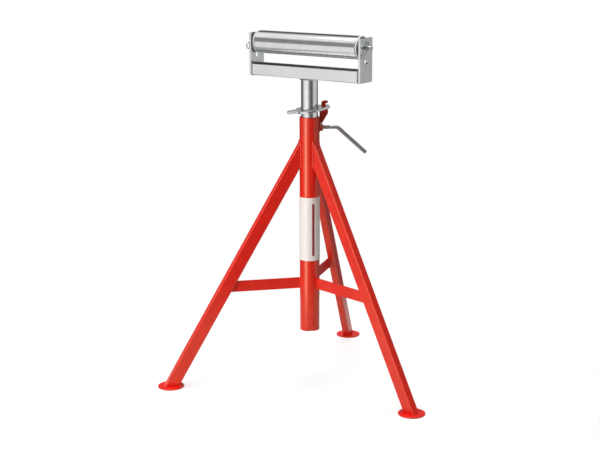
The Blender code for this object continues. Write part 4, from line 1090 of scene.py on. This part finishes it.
axle_low, axle_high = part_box("axle")
roller_height = (axle_low.z + axle_high.z) / 2
ear_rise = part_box("ear_left")[1].z - channel_low.z
hole_ring = circled(AXLE_RADIUS + FIT, round_turn(EAR_HOLE_SIDES))
holes = [hole_ring + (0.0, roller_height - channel_low.z - drop) for drop in (0.0, SPARE_DROP)]
ear_outline = rounded(oblong(-half_width, half_width, 0.0, ear_rise), EAR_CORNER, 4)
bead_line = rounded(outer_line, [0.0, CHANNEL_CORNER, CHANNEL_CORNER, 0.0])
for side, name in ((-1, "left"), (1, "right")):
    ear_low, ear_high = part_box("ear_" + name)
    points, faces = plate([ear_outline] + holes, EAR_THICKNESS, EAR_EDGE)
    points[:, 2] += (ear_low.x + ear_high.x) / 2 - AXIS[0]
    add_piece("ear_plate_" + name, placed(points, head_plane), faces, ear_zinc, *PLATED, "ear_" + name)
    line = np.column_stack([bead_line, np.full(len(bead_line), side * (channel_half - EAR_BEAD_INSET + FIT))])
    bead = laid_bead(placed(line, head_plane), EAR_BEAD, (1, 0, 0), share=EAR_BEAD_RIPPLE)
    add_piece("ear_bead_" + name, *bead, bead_zinc, *PLATED, "weld_ear_" + name)

# The roller: a zinc-plated tube with rolled ends. A pressed housing closes each end and holds a bearing,
# whose inner race and collar stay on the axle.
ROLLER_RADIUS = 0.0286
ROLLER_WALL = 0.0019
ROLLER_EDGE = 0.0014
ROLLER_BORE_EDGE = 0.0004
ROLLER_SIDES = 168
HOUSING_SHEET = 0.0018
HOUSING_DEPTH = 0.011
HOUSING_DISH = 0.0025
HOUSING_ROUNDS = (0.0002, 0.0003, 0.0003, 0.0004, 0.0006, 0.0006, 0.0003,
                  0.0003, 0.0006, 0.0008, 0.0008, 0.0008, 0.0012, 0.0002)
HOUSING_PATCHES = (130.0, 0.35, 0.70)
HOUSING_ROUGH = 0.42
HOUSING_DULLING = 0.08
BEARING_RADIUS = 0.013
BEARING_WIDTH = 0.009
BEARING_EDGE = 0.0004
BEARING_SIDES = 96
HUB_RADIUS = 0.00825
END_BAND = 0.0014
END_BAND_EDGE = 0.0003
RIM_SHARE = 0.45
RIM_INSET = 0.0003
RIM_LIP = 0.0035
RIM_FOOT = 0.0056
END_GREY = (0.60, 0.585, 0.58, 1.0)
END_ROUGH = 0.35
ROLLER_ZINC = (0.86, 0.87, 0.88, 1.0)
ROLLER_ZINC_DARK = (0.76, 0.77, 0.78, 1.0)
HOUSING_ZINC = (0.59, 0.565, 0.56, 1.0)
HOUSING_ZINC_DARK = (0.52, 0.50, 0.495, 1.0)
BEARING_STEEL = (0.60, 0.61, 0.62, 1.0)
BEARING_STEEL_DARK = (0.48, 0.49, 0.50, 1.0)

roller_low, roller_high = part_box("roller_shell")
roller_half = (roller_high.x - roller_low.x) / 2
ear_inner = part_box("ear_right")[0].x - AXIS[0]
ALONG_AXLE = axes(AXIS + UP * roller_height, (0, 0, -1), (0, 1, 0))
roller_zinc = bare_metal("roller_zinc", ROLLER_ZINC, ROLLER_ZINC_DARK, roughness=0.07, spread=0.03,
                         cloud=0.030, scratch=0.0012, along=(0.03, 1.0, 1.0))
shader = roller_zinc.node_tree.nodes["Principled BSDF"]
finish = Finish(roller_zinc.node_tree)
where = finish.node("TexCoord", output="Object")
spot = finish.node("SeparateXYZ", sockets={"Vector": where}, output="X") - float(AXIS[0])
band_start = roller_half - END_BAND
band = finish.step(spot.math("ABSOLUTE", spot), band_start - END_BAND_EDGE, band_start)
plated, sheen = (Term(finish, shader.inputs[key].links[0].from_socket) for key in ("Base Color", "Roughness"))
finish.feed(shader, {"Base Color": finish.mix(plated, END_GREY, band), "Roughness": sheen + band * END_ROUGH,
                     "Metallic": 1 - band})
inner = ROLLER_RADIUS - ROLLER_WALL
section = tube_section(ROLLER_RADIUS, inner, -roller_half, roller_half,
                       [ROLLER_EDGE, ROLLER_EDGE, ROLLER_BORE_EDGE, ROLLER_BORE_EDGE], 6)
add_turned("shell", section, ROLLER_SIDES, ALONG_AXLE, roller_zinc, "roller", "roller_zinc", "roller_shell")

housing_zinc, finish, shader, where = new_material("housing_zinc")
clouds = patches(finish, where, *HOUSING_PATCHES)
finish.feed(shader, {"Base Color": finish.mix(HOUSING_ZINC_DARK, HOUSING_ZINC, clouds),
                     "Roughness": HOUSING_ROUGH + clouds * HOUSING_DULLING})
bearing_steel = bare_metal("bearing_steel", BEARING_STEEL, BEARING_STEEL_DARK, roughness=0.16, spread=0.06,
                           cloud=0.006, scratch=0.0005)
sheet = HOUSING_SHEET
face = roller_half - sheet / 2
outer = inner - FIT
cup = BEARING_RADIUS + FIT
race_top = face - HOUSING_DISH
race_low = race_top - BEARING_WIDTH
rim_top = roller_half + RIM_SHARE * (ear_inner - roller_half)
rim = ROLLER_RADIUS - RIM_INSET
housing_section = rounded(
    [(outer, roller_half + FIT), (outer, face - HOUSING_DEPTH), (outer - sheet, face - HOUSING_DEPTH),
     (outer - sheet, face - sheet), (cup + sheet + HOUSING_DISH, face - sheet),
     (cup + sheet, face - sheet - HOUSING_DISH), (cup + sheet, race_low - sheet), (cup, race_low - sheet),
     (cup, race_top), (cup + HOUSING_DISH, face), (rim - RIM_FOOT, face), (rim - RIM_LIP, rim_top),
     (rim, rim_top), (rim, roller_half + FIT)], HOUSING_ROUNDS, 4)
race_section = tube_section(BEARING_RADIUS, HUB_RADIUS + FIT, race_low, race_top, BEARING_EDGE, 3)
hub_section = tube_section(HUB_RADIUS, AXLE_RADIUS + FIT, race_low, ear_inner - FIT, BEARING_EDGE, 3)
for side, name in ((-1, "left"), (1, "right")):
    for part, section, material, body, slot, node in (
            ("end_disc_", housing_section, housing_zinc, "roller", "housing_zinc", "bearing_housing_"),
            ("outer_race_", race_section, bearing_steel, "roller", "bearing_steel", "bearing_race_"),
            ("inner_collar_", hub_section, bearing_steel, "mast", "bearing_steel", "bearing_hub_")):
        add_turned(part + name, section * (1, side), BEARING_SIDES, ALONG_AXLE, material, body, slot,
                   node + name)

# The axle: a bright drawn half-inch steel bar with softened ends. It is pushed through both ears and the
# bearings, and a spring wire clip keeps it at each end.
AXLE_EDGE = 0.001
AXLE_SIDES = 72
AXLE_STEEL = (0.74, 0.75, 0.76, 1.0)
AXLE_STEEL_DARK = (0.62, 0.63, 0.64, 1.0)

axle_steel = bare_metal("axle_steel", AXLE_STEEL, AXLE_STEEL_DARK, roughness=0.16, spread=0.06,
                        cloud=0.008, scratch=0.0006, along=(0.1, 1.0, 1.0))
axle_half = (axle_high.x - axle_low.x) / 2
section = bar_section(AXLE_RADIUS, -axle_half, axle_half, (AXLE_EDGE, AXLE_EDGE), 5)
add_turned("axle_bar", section, AXLE_SIDES, ALONG_AXLE, axle_steel, "mast", "axle_steel", "axle")

# The clips: hairpins of spring wire. One leg goes through the axle, the wire loops back, and the other leg
# hugs the axle from outside and ends in a flare.
CLIP_WIRE = 0.0013
CLIP_STAND_OFF = 0.0035
CLIP_LOOP_RADIUS = 0.0070
CLIP_REACH = 0.0265
CLIP_DROOPS = (math.radians(35), math.radians(50))
CLIP_LOOP_SWEEP = math.radians(235)
CLIP_HUG_START = math.radians(30)
CLIP_TAIL = 0.013
CLIP_FLARE = 0.009
CLIP_FLARE_ANGLE = math.radians(25)
CLIP_STEP = 0.0004
CLIP_SIDES = 20
CLIP_SOFTENING = 5
CLIP_BEND_POINTS = 60
CLIP_END = 0.0006
CLIP_END_SHARE = 0.6
CLIP_STEEL = (0.58, 0.58, 0.60, 1.0)
CLIP_STEEL_DARK = (0.44, 0.44, 0.46, 1.0)

clip_steel = bare_metal("clip_steel", CLIP_STEEL, CLIP_STEEL_DARK, roughness=0.22, spread=0.08,
                        cloud=0.004, scratch=0.0005)
turn = np.linspace(-math.pi / 2, CLIP_LOOP_SWEEP - math.pi / 2, CLIP_BEND_POINTS)
loop = circled(CLIP_LOOP_RADIUS, turn) + (CLIP_REACH, CLIP_LOOP_RADIUS)
turn = np.linspace(CLIP_HUG_START, math.pi - CLIP_HUG_START, CLIP_BEND_POINTS)
hugging = circled(AXLE_RADIUS + FIT + CLIP_WIRE, turn)
flare = hugging[-1] + CLIP_FLARE * np.array([-math.cos(CLIP_FLARE_ANGLE), math.sin(CLIP_FLARE_ANGLE)])
line = np.vstack([[(-AXLE_RADIUS - CLIP_TAIL, 0.0)], loop, hugging, flare[None]])
line, along = spaced(np.hstack([line, np.zeros((len(line), 1))]), CLIP_STEP)
kernel = np.hanning(2 * CLIP_SOFTENING + 3)[1:-1]
padded = np.pad(line, ((CLIP_SOFTENING, CLIP_SOFTENING), (0, 0)), mode="reflect", reflect_type="odd")
line = np.stack([np.convolve(padded[:, axis], kernel / kernel.sum(), "valid") for axis in range(3)], axis=1)
from_end = np.minimum(along, along[-1] - along) / CLIP_END
radius = CLIP_WIRE * np.clip(CLIP_END_SHARE + (1 - CLIP_END_SHARE) * from_end, 0.0, 1.0)[:, None]
for side, name, droop in zip((-1, 1), ("left", "right"), CLIP_DROOPS):
    clip_x = side * (ear_inner + EAR_THICKNESS + CLIP_STAND_OFF)
    away = np.array([0.0, -math.cos(droop), -math.sin(droop)])
    rise = np.array([0.0, -math.sin(droop), math.cos(droop)])
    path = AXIS + UP * roller_height + np.array([clip_x, 0.0, 0.0]) + line[:, :1] * away + line[:, 1:2] * rise
    add_piece("hairpin_" + name, *swept(path, (1, 0, 0), radius, CLIP_SIDES), clip_steel, "mast", "clip_wire",
              "clip_" + name)

# The box round every shown piece, and the end.
low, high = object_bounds()
